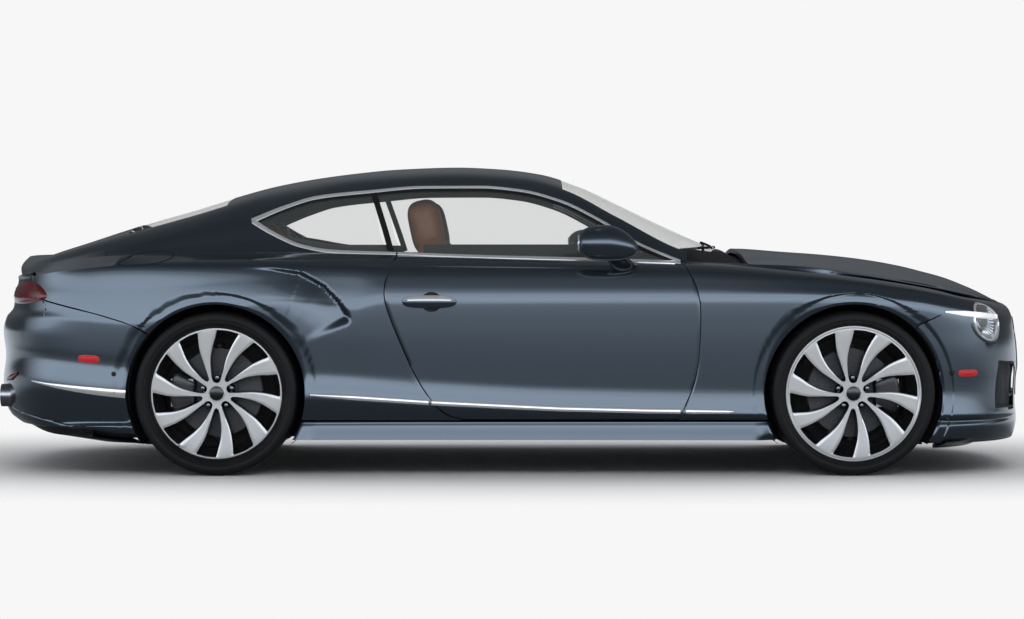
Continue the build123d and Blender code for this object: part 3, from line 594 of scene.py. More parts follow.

# %% [markdown]
# ## Dressing the frame
# The mechanical parts keep their imported shape. Each node takes the finish that the table names for it. The
# brake discs' ground faces are told by their radius and by looking straight outwards.

# %% Finishes for the carried-over nodes
FINISH = {
    "paint": "fender_left fender_right quarter_left quarter_right front_bumper rear_bumper sills "
             "roof_frame door_left door_right mirror_left mirror_right hood trunk_lid",
    "gloss_black": "front_splitter rear_diffuser", "black_plastic": "grille",
    "underbody": "floor_pan front_bulkhead arch_liners front_subframe rear_subframe",
    "window_glass": "windscreen rear_glass door_glass_left door_glass_right",
    "lamp_glass": "headlamps", "red_lens": "tail_lamps", "steel": "exhaust",
    "alloy_face": "wheel_front_left wheel_front_right wheel_rear_left wheel_rear_right",
    "rubber": "tyre_front_left tyre_front_right tyre_rear_left tyre_rear_right",
    "cast_iron": "knuckle_left knuckle_right rear_knuckles", "engine_metal": "engine_block",
    "brown_leather": "front_seats rear_bench", "dash_vinyl": "dashboard",
    "dark_leather": "steering_wheel",
}
for finish, names in FINISH.items():
    for name in names.split():
        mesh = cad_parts[name].data
        mesh.materials.clear()
        mesh.materials.append(MATERIALS[finish])
        mesh.polygons.foreach_set("material_index", [0] * len(mesh.polygons))
print("nodes left undressed", set(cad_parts) - set(" ".join(FINISH.values()).split()))


# %% Wheel planes and ground faces
def face_data(mesh):
    """Centres and normals of all faces as arrays."""
    count = len(mesh.polygons)
    centre, normal = np.empty(count * 3), np.empty(count * 3)
    mesh.polygons.foreach_get("center", centre)
    mesh.polygons.foreach_get("normal", normal)
    return centre.reshape(-1, 3), normal.reshape(-1, 3)


def hub_distance(centre, axle):
    """Distance of face centres from an axle's line."""
    return np.hypot(centre[:, 0] - axle, centre[:, 2] - AXLE_Z)


def second_finish(obj, finish, marked):
    """Gives the marked faces of an object another finish."""
    obj.data.materials.append(MATERIALS[finish])
    obj.data.polygons.foreach_set("material_index", marked.astype(np.int32))


WHEELS = {}
for end, axle in (("front_", FRONT_AXLE), ("rear_", REAR_AXLE)):
    for word, side in SIDES:
        centre, normal = face_data(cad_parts["wheel_" + end + word].data)
        radius = hub_distance(centre, axle)
        outer = side * centre[:, 1]
        spokes = (radius > .10) & (radius < .24) & (side * normal[:, 1] > .99)
        WHEELS[end + word] = axle, side, float(outer[spokes].max())
print("axle, side and face plane", WHEELS)
for name in ("knuckle_left", "knuckle_right", "rear_knuckles"):
    centre, normal = face_data(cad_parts[name].data)
    radius = np.minimum(hub_distance(centre, FRONT_AXLE), hub_distance(centre, REAR_AXLE))
    ground = (radius > .085) & (radius < .186) & (np.abs(normal[:, 1]) > .95)
    second_finish(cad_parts[name], "steel", ground)

# %% [markdown]
# ## Panels on the master surface
# Each outer panel is a patch of the one surface between its shut lines. A shut line is drawn in the side
# view as a polyline, its corners rounded, and lifted to the skin. Four such lines bound a Coons patch.
# Because all panels read one surface, light runs across the gaps unbroken.

# %% Shut lines in the side view
DOOR_REAR = [(-.508, .990), (-.542, .931), (-.565, .850), (-.562, .781), (-.534, .698), (-.496, .605),
             (-.422, .439), (-.348, .329), (-.290, .275), (-.215, .252)]
DOOR_FRONT = [(.775, .950), (.800, .915), (.838, .830), (.850, .743), (.850, .640), (.836, .439),
              (.775, .301), (.747, .252)]
BUMPER_FRONT = [(1.801, .660), (1.829, .678), (1.946, .732)]
BUMPER_REAR = [(-1.614, .635), (-1.688, .677), (-1.860, .729), (-2.148, .799)]
TAIL_EDGE = -2.19
STRETCH = np.array([1.0, .12])


def lifted(path, count, gap=0.0, passes=2):
    """A side-view path, rounded, moved sideways by gap to its left as it runs, as (x, s) rows."""
    path = rounded(path, count, passes)
    d = np.gradient(path, axis=0)
    d = d / np.linalg.norm(d, axis=1, keepdims=True)
    path = path + gap * np.stack([-d[:, 1], d[:, 0]], -1)
    return np.stack([path[:, 0], row_at(path[:, 0], path[:, 1])], -1)


def along_row(xs, row):
    """A line of constant row over the given stations."""
    return np.stack([xs, np.full_like(xs, row)], -1)


def even(border, count):
    """An (x, s) border spaced evenly, with a row counted as 0.12 m."""
    return resample(border * STRETCH, count) / STRETCH


# %% [markdown]
# ## Doors
# A coupe's door is a long pressed skin. Its rear edge leans back round the seat and its lower corner is
# rounded. The patch runs between the shut lines, and the hem gives it a folded edge.

# %% Door skins
def door_skin():
    """Patch between the two shut lines, from the sill up to the rail."""
    n, m = 90, 72
    rear = lifted(DOOR_REAR[::-1], m, -SHUT_GAP)
    front = lifted(DOOR_FRONT[::-1], m, SHUT_GAP)
    rear[-1, 1] = front[-1, 1] = RAIL
    xs = np.linspace(rear[0, 0], front[0, 0], n)
    low = np.stack([xs, np.interp(xs, [xs[0], xs[-1]], [rear[0, 1], front[0, 1]])], -1)
    return fill(low, along_row(np.linspace(rear[-1, 0], front[-1, 0], n), RAIL), rear, front)


door_grid = door_skin()
pair("door_skin", hem(door_grid, (0, 1, 0), .028), (0, 1, 0), body="door_{side}", replaces="door_{side}")
print("door skin", door_grid.shape, "widest", float(door_grid[..., 1].max()))

# %% [markdown]
# ## Front wings
# The wing wraps the wheel from the seam behind it to the bumper line ahead, and ends at the hood.

# %% Front wing skins
WING_TIP = 2.16


def wing_skin():
    """Patch between the wheel arch, the door's shut line, the edge of the hood and the bumper."""
    n, m = 150, 50
    low = lifted(arch(FRONT_AXLE, 196.9, 46.8, n), n, 0, 0)
    door = lifted(DOOR_FRONT[::-1], 400, -SHUT_GAP)
    door = door[door[:, 1] < 11.9]
    hood_edge = along_row(np.linspace(door[-1, 0], WING_TIP, 400), 11.93)
    high = even(np.concatenate([door, hood_edge]), n)
    left = resample(np.array([low[0], high[0]]), m)
    nose = lifted(BUMPER_FRONT + [(WING_TIP, .720)], 90, SHUT_GAP, 1)
    nose = even(np.concatenate([nose, high[-1:]]), m)
    nose[0], nose[-1] = low[-1], high[-1]
    return fill(low, high, left, nose)


wing_grid = wing_skin()
pair("wing_skin", hem(wing_grid, (0, 1, 0), .03), (0, 1, 0), replaces="fender_{side}")
print("wing skin", wing_grid.shape)

# %% [markdown]
# ## Rear quarters, roof and sails
# Behind the doors one pressing holds the haunch, the sail beside the rear window, the roof and the thin
# pillars. The patches share their border points, so they are joined into one seamless shell.

# %% Body shell behind the doors
ROOF_FRONT, ROOF_REAR, DECK_FRONT, SAIL_FRONT = .240, -1.310, -1.838, -1.1735
SAIL_X = np.linspace(DECK_FRONT, SAIL_FRONT, 64)
WINDOW_ROW = 15.12


def quarter_skin():
    """Patch between the wheel arch, the door's shut line, the rail and the bumper. Its upper border
    has the same points as the rail strip, the sail and the deck that it meets."""
    n, m = 210, 54
    low = lifted(arch(REAR_AXLE, -16.9, 138.2, n), n, 0, 0)
    door = lifted(DOOR_REAR[::-1], 300, SHUT_GAP)
    door = door[door[:, 1] < 11.95]
    rail = along_row(np.linspace(door[-1, 0], SAIL_FRONT, 60)[1:], RAIL)
    sail = along_row(SAIL_X[::-1][1:], RAIL)
    deck = along_row(np.linspace(DECK_FRONT, TAIL_EDGE, n - 62 - 59 - 63 + 1)[1:], RAIL)
    high = np.concatenate([even(door, 62), rail, sail, deck])
    left = resample(np.array([low[0], high[0]]), m)
    back = lifted(BUMPER_REAR + [(TAIL_EDGE, .83), (TAIL_EDGE, .899)], m, -SHUT_GAP, 1)
    back[0], back[-1] = low[-1], high[-1]
    return fill(low, high, left, back)


def upper(xs, rows):
    """Grid of the skin over stations and rows."""
    return flank(*lattice(xs, rows))


def rail_strip():
    """The strip of skin between the rail and the quarter window's lower edge."""
    xs = np.linspace(-1.1735, -.40, 70)
    top = row_at(xs, glass_low_z(xs), RAIL, TOP)
    return flank(xs[:, None], RAIL + (top[:, None] - RAIL) * np.linspace(0, 1, 12)[None])


window_side = np.linspace(TOP, WINDOW_ROW, 16)
window_across = np.linspace(WINDOW_ROW, CROWN, 30)
SHELL = [
    (rail_strip(), (0, 1, .3)),
    (quarter_skin(), (0, 1, .1)),
    (upper(SAIL_X, np.linspace(RAIL, TOP, 24)), (0, 1, .6)),
    (upper(np.linspace(DECK_FRONT, ROOF_REAR, 50), window_side), (0, .3, 1)),
    (upper(np.linspace(ROOF_REAR, ROOF_FRONT, 120), np.append(window_side, window_across[1:])), (0, 0, 1)),
    (upper(np.linspace(DECK_FRONT, -1.760, 8), window_across), (0, 0, 1)),
    (upper(np.linspace(ROOF_FRONT, .80, 50), np.linspace(TOP, 15.0, 12)), (0, .5, 1)),
]
parts = [(mirror(p, side), mirror(hint, side)) for word, side in SIDES for p, hint in SHELL]
shell = joined("body_shell", parts, "paint", angle=45)
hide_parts("quarter_left", "quarter_right", "roof_frame")
print("shell faces", len(shell.data.polygons))

# %% [markdown]
# ## Nose and tail
# Past the axles the plan closes like a squared ellipse. Walking round it by angle rather than by x keeps
# the points evenly spread where the surface faces forward. The height and the plan depend on each other,
# so a few rounds of substitution settle both.

# %% Nose and tail surfaces
def end_plan(front):
    """Start, power and reach line of the front or rear end's plan."""
    return (FRONT_SWEEP, NOSE_POWER, nose_x) if front else (REAR_SWEEP, TAIL_POWER, tail_x)


def end_point(theta, s, front=True):
    """Point at plan angle theta (0 at the side, 90 degrees at the centre) and row s."""
    start, power, reach = end_plan(front)
    theta, s = np.broadcast_arrays(np.asarray(theta, float), np.asarray(s, float))
    z = np.full(theta.shape, .5)
    t = np.sin(theta) ** (2 / power)
    for _ in range(12):
        x = start + (reach(z) - start) * t
        z = .5 * z + .5 * section(x, s)[1]
    y, z = section(x, s)
    bend = relief(x, z) * smoothstep((RAIL - s) / 1.0) * np.cos(theta)
    return xyz(x, y * np.cos(theta) ** (2 / power) + bend, z)


def end_angle(x, z, front=True):
    """Plan angle at which the end surface passes station x at height z."""
    start, power, reach = end_plan(front)
    return np.arcsin(np.clip((x - start) / (reach(z) - start), 0, 1) ** (power / 2))


def end_at(y, z, front=True):
    """The point of the nose or tail surface at a given y and z, found by a few substitutions."""
    start, power, reach = end_plan(front)
    y, z = np.broadcast_arrays(np.asarray(y, float), np.asarray(z, float))
    x = start + .8 * (reach(z) - start)
    for _ in range(6):
        wide = section(x, row_at(x, z))[0]
        t = (1 - np.clip(np.abs(y) / wide, 0, 1) ** power) ** (1 / power)
        x = .4 * x + .6 * (start + (reach(z) - start) * t)
    return xyz(x, y, z)


def within(outline, y, z):
    """True for points inside a closed polygon, by counting the edges crossed along +y."""
    p = np.array(outline, float)
    a, b = p[:, None], np.roll(p, -1, axis=0)[:, None]
    yy, zz = np.ravel(y)[None], np.ravel(z)[None]
    cross = ((a[..., 1] > zz) != (b[..., 1] > zz)) & (
        yy < (b[..., 0] - a[..., 0]) * (zz - a[..., 1]) / (b[..., 1] - a[..., 1] + 1e-12) + a[..., 0])
    return (cross.sum(0) % 2 == 1).reshape(np.shape(y))


def corners(mask):
    """The four corner values of each quad of a grid."""
    return mask[:-1, :-1], mask[1:, :-1], mask[:-1, 1:], mask[1:, 1:]


def whole(half):
    """A half grid whose last row lies on the centre line, joined to its mirror image."""
    return np.concatenate([half, mirror(half, RIGHT)[-2::-1]])


def across(half):
    """A half grid with its rows turned to run across the car, made whole."""
    return whole(np.swapaxes(half, 0, 1))


# %% [markdown]
# ## Front and rear bumpers
# Each bumper is two side patches from the wheel arch to a station near the corner, and one wrap round the
# end. The openings for the grille, the air intakes and the lamps are left out of the wrap, and their
# frames come later and cover the cut.

# %% Bumper patches
GRILLE = [(-.405, .640), (-.370, .690), (.370, .690), (.405, .640), (.385, .345), (-.385, .345)]
INTAKE = [(.490, .430), (.560, .490), (.745, .505), (.765, .300), (.520, .290)]
NOSE_JOIN, TAIL_JOIN = 2.0, -2.10
HOOD_ROW = 11.93
LAMP_Y, LAMP_Z, LAMP_RY, LAMP_RZ = .7985, .687, .0655, .0795


def bumper_top(x, front=True):
    """Top row of a bumper, a little below the shut line under wing or haunch, then below the edge of
    hood or lid."""
    if front:
        z = np.interp(x, [1.80, 1.829, 1.946, WING_TIP], [.659, .677, .731, .719])
        t = smoothstep((x - 2.12) / .06)
    else:
        z = np.interp(x, [-2.148, -1.860, -1.688, -1.614], [.797, .727, .675, .633])
        t = smoothstep((-x - 2.15) / .05)
    return (1 - t) * row_at(x, z) + t * HOOD_ROW - .02


def bumper_side(front):
    """Patch from the wheel arch to the join, between the top row and the underside."""
    n, m = 70, 36
    foot = math.degrees(math.asin((AXLE_Z - (.150 if front else .172)) / ARCH_R))
    axle, join = (FRONT_AXLE, NOSE_JOIN) if front else (REAR_AXLE, TAIL_JOIN)
    start, stop = (46.2, -foot) if front else (138.9, 180 + foot)
    low = lifted(arch(axle, start, stop, n), n, 0, 0)
    xs = np.linspace(low[0, 0], join, m)
    left = np.stack([xs, bumper_top(xs, front)], -1)
    right = along_row(np.linspace(low[-1, 0], join, m), 0)
    left[0], right[0] = low[0], low[-1]
    high = np.stack([np.full(n, join), np.linspace(left[-1, 1], 0, n)], -1)
    return fill(low, high, left, right)


def in_lamp(p, size=1.02):
    """True where a point lies inside the head lamp's oval, seen from the front."""
    return ((p[..., 1] - LAMP_Y) / LAMP_RY) ** 2 + ((p[..., 2] - LAMP_Z) / LAMP_RZ) ** 2 < size ** 2


def bumper_object(name, sides, wrap, keep, end, replaced):
    """Both side patches and both halves of the wrap as one skin 4 mm thick."""
    parts = []
    for word, side in SIDES:
        parts += [(mirror(sides, side), (0, side, 0)), (mirror(wrap, side), (end, side * .6, 0), keep)]
    obj = joined(name, parts, "paint", angle=40, reach=.0006, trim=True)
    wall(obj, .004)
    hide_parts(replaced)
    return obj


# %% Front bumper skin
side_grid = bumper_side(True)
t = np.linspace(0, 1, 136)[:, None]
v = np.linspace(1, 0, 70)[None]
start = end_angle(NOSE_JOIN, section(np.full_like(v, NOSE_JOIN), bumper_top(NOSE_JOIN) * v)[1])
theta = start + (math.pi / 2 - start) * t
x = end_point(theta[:, 20:21], np.full((len(t), 1), 8.0))[..., 0]
wrap_grid = end_point(theta, bumper_top(x) * v)
wrap_grid[0] = side_grid[:, -1]
y, z = wrap_grid[..., 1], wrap_grid[..., 2]
holes = corners(within(GRILLE, y, z) | within(INTAKE, y, z) | in_lamp(wrap_grid))
front_bumper = bumper_object("front_bumper_skin", side_grid, wrap_grid, ~np.logical_or.reduce(holes), 1,
                             "front_bumper")
print("front bumper faces", len(front_bumper.data.polygons))

# %% Rear bumper skin
side_grid = bumper_side(False)
start = end_angle(TAIL_JOIN, .5, False)
theta = start + (math.pi / 2 - start) * np.linspace(0, 1, 100)[:, None]
x = end_point(theta, np.full_like(theta, 8.0), False)[..., 0]
wrap_grid = end_point(theta, bumper_top(x, False) * v, False)
wrap_grid[0] = side_grid[:, -1]
bumper_object("rear_bumper_skin", side_grid, wrap_grid, None, -1, "rear_bumper")

# %% [markdown]
# ## Sills, hood and trunk lid
# The sill closes the flank between the wheels. The hood and the lid use the rows above the rail, from
# their hinge edge to the end of the car, and are mirrored at the centre line.

# %% Sill skins
rows = np.linspace(0, 2.975, 16)[None]
z = section(np.full_like(rows, -.2), rows)[1]
half = np.sqrt(ARCH_R ** 2 - (AXLE_Z - z) ** 2)
x0, x1 = REAR_AXLE + half, FRONT_AXLE - half
sill_grid = flank(x0 + (x1 - x0) * np.linspace(0, 1, 120)[:, None], rows)
under = sill_grid[:, :1] - np.array([0, .12, -.004])
sill_grid = np.concatenate([under, sill_grid], axis=1)
sill = joined("sill_skins", [(mirror(sill_grid, side), (0, side, -.3)) for word, side in SIDES], "paint")
wall(sill, .003)
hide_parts("sills")


# %% Hood and lid skins
def cover_skin(start_x, front, n_flat, bow=0.0):
    """Half of the hood or lid: rows down axis 1, and axis 0 from the hinge edge to the end of the car.
    bow curves the hinge edge in plan."""
    begin = end_plan(front)[0]
    rows = (RAIL + .045 + (5 - .045) * np.linspace(0, 1, 46) ** 1.15)[None]
    t = np.linspace(0, 1, n_flat)[:-1, None]
    edge = start_x - bow * ((rows - 12) / 5) ** 2
    theta = np.linspace(0, math.pi / 2 - .02, 70)[:, None]
    return np.concatenate([flank(edge + (begin - edge) * t, rows), end_point(theta, rows, front)])


for name, half, body in (("hood_skin", cover_skin(1.083, True, 56, .02), "hood"),
                         ("trunk_lid_skin", cover_skin(-1.842, False, 26), "trunk_lid")):
    panel(name, hem(across(half), (0, 0, 1), .02), (0, 0, 1), body=body, replaces=body)
    print(name, half.shape)

# %% [markdown]
# ## Glass
# The panes are patches of the same surface, set a few millimetres in. The side glass runs from the belt to
# the roof edge, the windscreen wraps between the pillars.

# %% Side glass, windscreen and rear window
def side_pane(x_low, x_high, count, slant=(0, 0)):
    """Side glass between two stations at the belt; slant moves the ends of the upper edge."""
    u = np.linspace(0, 1, count)[:, None]
    v = np.linspace(0, 1, 20)[None]
    x = (x_low + slant[0] * v) * (1 - u) + (x_high + slant[1] * v) * u
    low, high = row_at(x, glass_low_z(x) + .002, 0, TOP), 13.97
    y, z = skin(x, low + (high - low) * v)
    return xyz(x, y - .004, z)


DOOR_PANE = side_pane(-.520, .752, 90, (-.100, 0))
REAR_PANE = side_pane(-1.165, -.548, 50, (0, -.085))
pair("door_window", DOOR_PANE, (0, 1, 0), "window_glass", "door_{side}", replaces="door_glass_{side}")
pair("quarter_window", REAR_PANE, (0, 1, 0), "window_glass", replaces="rear_glass")
rows = 15.03 + (CROWN - 15.03) * np.linspace(0, 1, 30)[None]
low = .775 + (.992 - .775) * smoothstep((rows - 15) / 1.4)
screen = flank(ROOF_FRONT + .004 + (low - ROOF_FRONT - .004) * np.linspace(0, 1, 60)[:, None], rows)
back = upper(np.linspace(-1.757, ROOF_REAR - .003, 50), np.linspace(WINDOW_ROW + .01, CROWN, 30))
for name, half, lean, replaced in (("windscreen_pane", screen, .5, "windscreen"),
                                   ("rear_window_pane", back, -.5, "rear_glass")):
    half[..., 2] -= .003
    panel(name, across(half), (lean, 0, 1), "screen_glass", replaces=replaced)

# %% [markdown]
# ## Tyres
# A tyre is a profile turned about the axle. The profile runs from the bead up the sidewall, over the
# rounded shoulder and across the tread, with grooves pressed into it. Fine ribs on the sidewall are small
# waves in the profile. Sipes across the tread are waves along the turn.

# %% Turned profiles
def turned(profile, centre, turns, wave=None):
    """Grid of a profile (r, y) turned about the Y axis through a centre: x = r cos a, z = r sin a. wave
    returns a change of radius for angle and profile position."""
    profile = np.array(profile, float)
    a = turn(turns)[:, None]
    r, y = profile[None, :, 0], profile[None, :, 1]
    if wave is not None:
        r = r + wave(a, y, r)
    return xyz(centre[0] + r * np.cos(a), centre[1] + y, centre[2] + r * np.sin(a))


def tyre_profile(width, r_out=.3675, r_in=.288):
    """Outline (r, y) of a tyre section: two beads, bulging sidewalls, round shoulders, grooved tread."""
    rise = [0, .006, .012, .016, .020, .032, .036, .040, .050, .060, .064, .067, .072]
    bulge = [.70, .80, .845, .835, .90, .965, .960, .985, .995, .975, .962, .955, .925]
    half = [(r_in + r, y) for r, y in zip(rise, bulge)]
    half += [(r_out - .0045, .875), (r_out - .0018, .81), (r_out, .72)]
    for mid in (.46, .15):
        half += [(r_out, mid + .062), (r_out - .0065, mid + .050), (r_out - .0065, mid - .050),
                 (r_out, mid - .062)]
    other = [(r, -y) for r, y in half[::-1]]
    inner = [(r_in + .018, -.66), (r_out - .018, -.62), (r_out - .018, .62), (r_in + .018, .66)]
    return np.array([(r, y * width / 2) for r, y in half + other + inner])


for word, (axle, side, plane) in WHEELS.items():
    middle, width = (.8075, .275) if "front" in word else (.7975, .305)

    def sipes(a, y, r, half=width / 2):
        """Small cuts across the outer ribs, 80 round the tyre."""
        on_rib = (np.abs(y) > .50 * half) & (np.abs(y) < .86 * half) & (r > .3655)
        return -.0022 * on_rib * (np.sin(a * 80 + 9 * np.abs(y) / half) > .55)

    profile = tyre_profile(width)
    p = turned(profile, (axle, side * middle, AXLE_Z), 240, sipes)
    area = (profile[:, 0] * np.roll(profile[:, 1], -1) - np.roll(profile[:, 0], -1) * profile[:, 1]).sum()
    faces = grid_faces(*p.shape[:2], wrap_rows=True, wrap_cols=True, flip=bool(area < 0))
    mesh_from("tyre_" + word + "_skin", p, faces, "rubber", "wheel_" + word, replaces="tyre_" + word)
print("tyre faces", len(faces))

# %% [markdown]
# ## Caps and rim rings
# The centre cap is a plain domed disc in a bright ring, set in behind the wheel's face. A bright rounded
# ring closes the rim. All are turned about the axle.

# %% Caps and rim rings
CAP_RING = [(.037, -.012), (.037, .001), (.036, .003), (.033, .003), (.0315, .001), (.0315, -.006)]
CAP_DISC = [(.0316, -.004), (.030, -.001), (.022, .0015), (.010, .0028), (.0002, .003)]
RIM_RING = [(.3035, -.010), (.3035, .0015), (.302, .0035), (.2975, .0035), (.2955, .001), (.292, -.001),
            (.288, -.010)]
CAP_SET_IN = .0065


def disc_at(name, word, profile, material, body=None, turns=96, closed=False, set_in=0.0):
    """A turned piece of one wheel whose profile (r, depth) is measured outwards from its face plane,
    or from a plane set in behind it."""
    axle, side, plane = WHEELS[word]
    p = turned([(r, side * d) for r, d in profile], (axle, side * (plane - set_in), AXLE_Z), turns)
    panel(name + "_" + word, p, (0, side, 0), material, body or "wheel_" + word, wrap_rows=True,
          wrap_cols=closed)


for word in WHEELS:
    disc_at("cap_ring", word, CAP_RING, "chrome", set_in=CAP_SET_IN)
    disc_at("cap_disc", word, CAP_DISC, "gloss_black", set_in=CAP_SET_IN)
    disc_at("rim_ring", word, RIM_RING, "alloy_face", turns=200)
print("caps and rings on", len(WHEELS), "wheels")

# %% [markdown]
# ## Trim on the skin
# Bright strips, seals, reflectors and lamps all follow the body. A strip is a path in the side view with
# a width. Its cross section is a low arch that stands on the skin. A blister is a patch with an outline,
# swollen in the middle. Both ask the surface for its place and its normal.

# %% Places on the skin
def on_skin(x, z, proud=0.0):
    """Point of the flank at side-view x, z, moved out along the surface normal by proud."""
    x, z = np.broadcast_arrays(np.asarray(x, float), np.asarray(z, float))
    step = .004

    def y_at(x, z):
        """Half width of the flank at x, z."""
        s = row_at(x, z, 0, 14.6)
        return skin(x, s)[0] + relief(x, z) * smoothstep(RAIL - s)
    y = y_at(x, z)
    n = xyz(-(y_at(x + step, z) - y) / step, 1.0, -(y_at(x, z + step) - y) / step)
    n = n / np.linalg.norm(n, axis=-1, keepdims=True)
    return xyz(x, y, z) + n * np.asarray(proud)[..., None]


def on_end(y, z, proud=0.0, front=True):
    """Point of the nose or tail at front-view y, z, moved out along x by proud."""
    p = end_at(y, z, front)
    p[..., 0] += np.asarray(proud) * (1 if front else -1)
    return p


def on_tail(y, z, proud):
    """Point of the tail at front-view y, z, moved out by proud."""
    return on_end(y, z, proud, False)


# %% Strips and blisters
ARCH_PROFILE = np.array([(-.50, -1.5), (-.495, .30), (-.46, .80), (-.38, .97), (0, 1.0), (.38, .97),
                         (.46, .80), (.495, .30), (.50, -1.5)])


def strip_points(path, widths, proud, place):
    """Grid of a strip: the path's 2-D normals carry a low arch of the given widths and height."""
    path = np.array(path, float)
    d = np.gradient(path, axis=0)
    d = d / np.linalg.norm(d, axis=1, keepdims=True)
    n = np.stack([-d[:, 1], d[:, 0]], -1)
    w = np.broadcast_to(np.asarray(widths, float), (len(path),))
    flat = path[:, None] + n[:, None] * (ARCH_PROFILE[None, :, :1] * w[:, None, None])
    height = ARCH_PROFILE[None, :, 1] * np.minimum(1, w[:, None] / .008) * proud
    return place(flat[..., 0], flat[..., 1], height)


def strip(name, path, widths, proud, material, body="body", count=80, passes=0, place=on_skin,
          outward=(0, 1, 0)):
    """A strip on both sides, one object each. Fewer widths than points are spread along the path."""
    path = rounded(path, count, passes)
    if np.ndim(widths) and len(widths) != count:
        widths = np.interp(np.linspace(0, 1, count), np.linspace(0, 1, len(widths)), widths)
    pair(name, strip_points(path, widths, proud, place), outward, material, body, 50)


def blister(name, centre, outline, proud, material, body="body", place=on_skin, rings=10, power=2.5,
            outward=(0, 1, 0), sink=.004):
    """A swollen patch: rings from the centre to the outline, height proud * (1 - r^power)."""
    outline, centre = np.array(outline, float), np.array(centre, float)
    r = np.linspace(0, 1, rings)[1:, None, None]
    flat = centre + r * (outline[None] - centre)
    lift = proud * (1 - r[..., 0] ** power) + 0 * flat[..., 0]
    lift[-1] = -sink
    lift[-2] = proud * .35
    flat[-2] = flat[-1] * .985 + centre * .015
    p = place(flat[..., 0], flat[..., 1], lift)
    middle = place(centre[:1], centre[1:], np.array([proud]))
    k, m = p.shape[:2]
    points = np.concatenate([p.reshape(-1, 3), middle])
    j = np.arange(m)
    fan = np.stack([np.full(m, k * m), j, (j + 1) % m], -1)
    for word, side in SIDES:
        flip = looks_in(p, outward) ^ (side == RIGHT)
        faces = grid_faces(k, m, wrap_cols=True, flip=flip).tolist() + fan[:, ::-1 if flip else 1].tolist()
        obj = mesh_from(name + "_" + word, mirror(points, side), faces, material, body.format(side=word), 50)
        rework(obj, outwards=True)


def oval(cx, cz, rx, rz, count=48, power=2.0, tilt=0.0):
    """Superellipse outline round a centre, turned by an angle in degrees."""
    a, t = turn(count), math.radians(tilt)
    u, v = rx * signed_power(np.cos(a), 2 / power), rz * signed_power(np.sin(a), 2 / power)
    return np.stack([cx + u * math.cos(t) - v * math.sin(t), cz + u * math.sin(t) + v * math.cos(t)], -1)


# %% [markdown]
# ## Bright lines of the side
# A polished frame rings the side windows, widest at its rear tip. One long strip runs above the sill and
# fades to a point behind the front wheel, and another sits behind the rear wheel. The pieces on the door
# end at its shut lines, so that they can swing with it.

# %% Window frame and side strips
def belt(x0, x1, count):
    """Path just below the lower edge of the side windows."""
    xs = np.linspace(x0, x1, count)
    return np.stack([xs, glass_low_z(xs) - .002], -1)


XT = np.linspace(-1.172, .768, 120)
TOP_LINE = np.stack([XT, glass_top_z(XT) + .001], -1)
TOP_LINE[0] = (-1.178, 1.142)
strip("window_frame_top", TOP_LINE, np.interp(XT, [-1.17, -1.0, -.4, .77], [.022, .016, .0115, .011]),
      .0045, "chrome", count=120)
XB = belt(-1.172, -.517, 60)
strip("window_frame_rear", XB, np.interp(XB[:, 0], [-1.17, -1.0, -.5], [.022, .016, .012]), .0045,
      "chrome", count=60)
strip("window_frame_door", belt(-.510, .766, 80), .012, .0045, "chrome", "door_{side}")
strip("window_seal_top", TOP_LINE - np.array([0, .012]), .016, .0012, "gloss_black", count=120)
strip("window_post", [(-.625, 1.270), (-.595, 1.180), (-.562, 1.080), (-.540, 1.004)], .026, .003,
      "gloss_black", count=30, passes=1)
SILL_X = [-.885, -.3457, .221, .60, .994]
SILL_Z = [.3644, .3285, .3015, .2925, .2885]
for word, x0, x1, body in (("rear", -.893, -.366, "body"), ("door", -.352, .758, "door_{side}"),
                           ("front", .783, .994, "body")):
    xs = np.linspace(x0, x1, 60)
    widths = .0225 * np.interp(xs, [-.893, -.70, .80, .975, .994], [.45, 1, 1, .85, .3])
    strip("sill_strip_" + word, np.stack([xs, np.interp(xs, SILL_X, SILL_Z)], -1), widths, .006, "chrome",
          body, count=60, passes=1)
strip("rear_wing_strip", [(-2.150, .4235), (-2.02, .403), (-1.85, .382), (-1.715, .3695)],
      [.004, .024, .036, .040], .007, "chrome", count=60, passes=1)

# %% Reflectors, sensors, fuel flap
for name, at, rx, rz, power, tilt, proud, material in (
        ("side_marker_rear", (-1.880, .525), .049, .017, 3.2, -3, .006, "red_marker"),
        ("side_marker_front", (2.052, .459), .048, .0155, 3.2, 0, .006, "red_marker"),
        ("side_sensor_rear", (-1.768, .458), .011, .011, 2.0, 0, .0015, "black_plastic"),
        ("side_sensor_front", (1.975, .461), .013, .013, 2.0, 0, .0015, "black_plastic")):
    blister(name, at, oval(*at, rx, rz, 48, power, tilt), proud, material)
# The fuel flap's outline is a thin black strip laid on the paint: painted shade of the gap round the flap.
flap = oval(-1.640, .972, .118, .030, 90, tilt=7)
flap = strip_points(rounded(np.concatenate([flap, flap[:1]]), 160, 0), .0035, .0006, on_skin)
panel("fuel_flap_painted_gap_shade", mirror(flap, RIGHT), (0, RIGHT, 0), "black_plastic", angle=50)
print("side trim made")

# %% [markdown]
# ## Door handles
# The handle is a slim bar over a round bowl. The bar's upper half is bright and its lower half painted.
# It is an ellipse carried along x, whose size falls off at the ends like a superellipse.

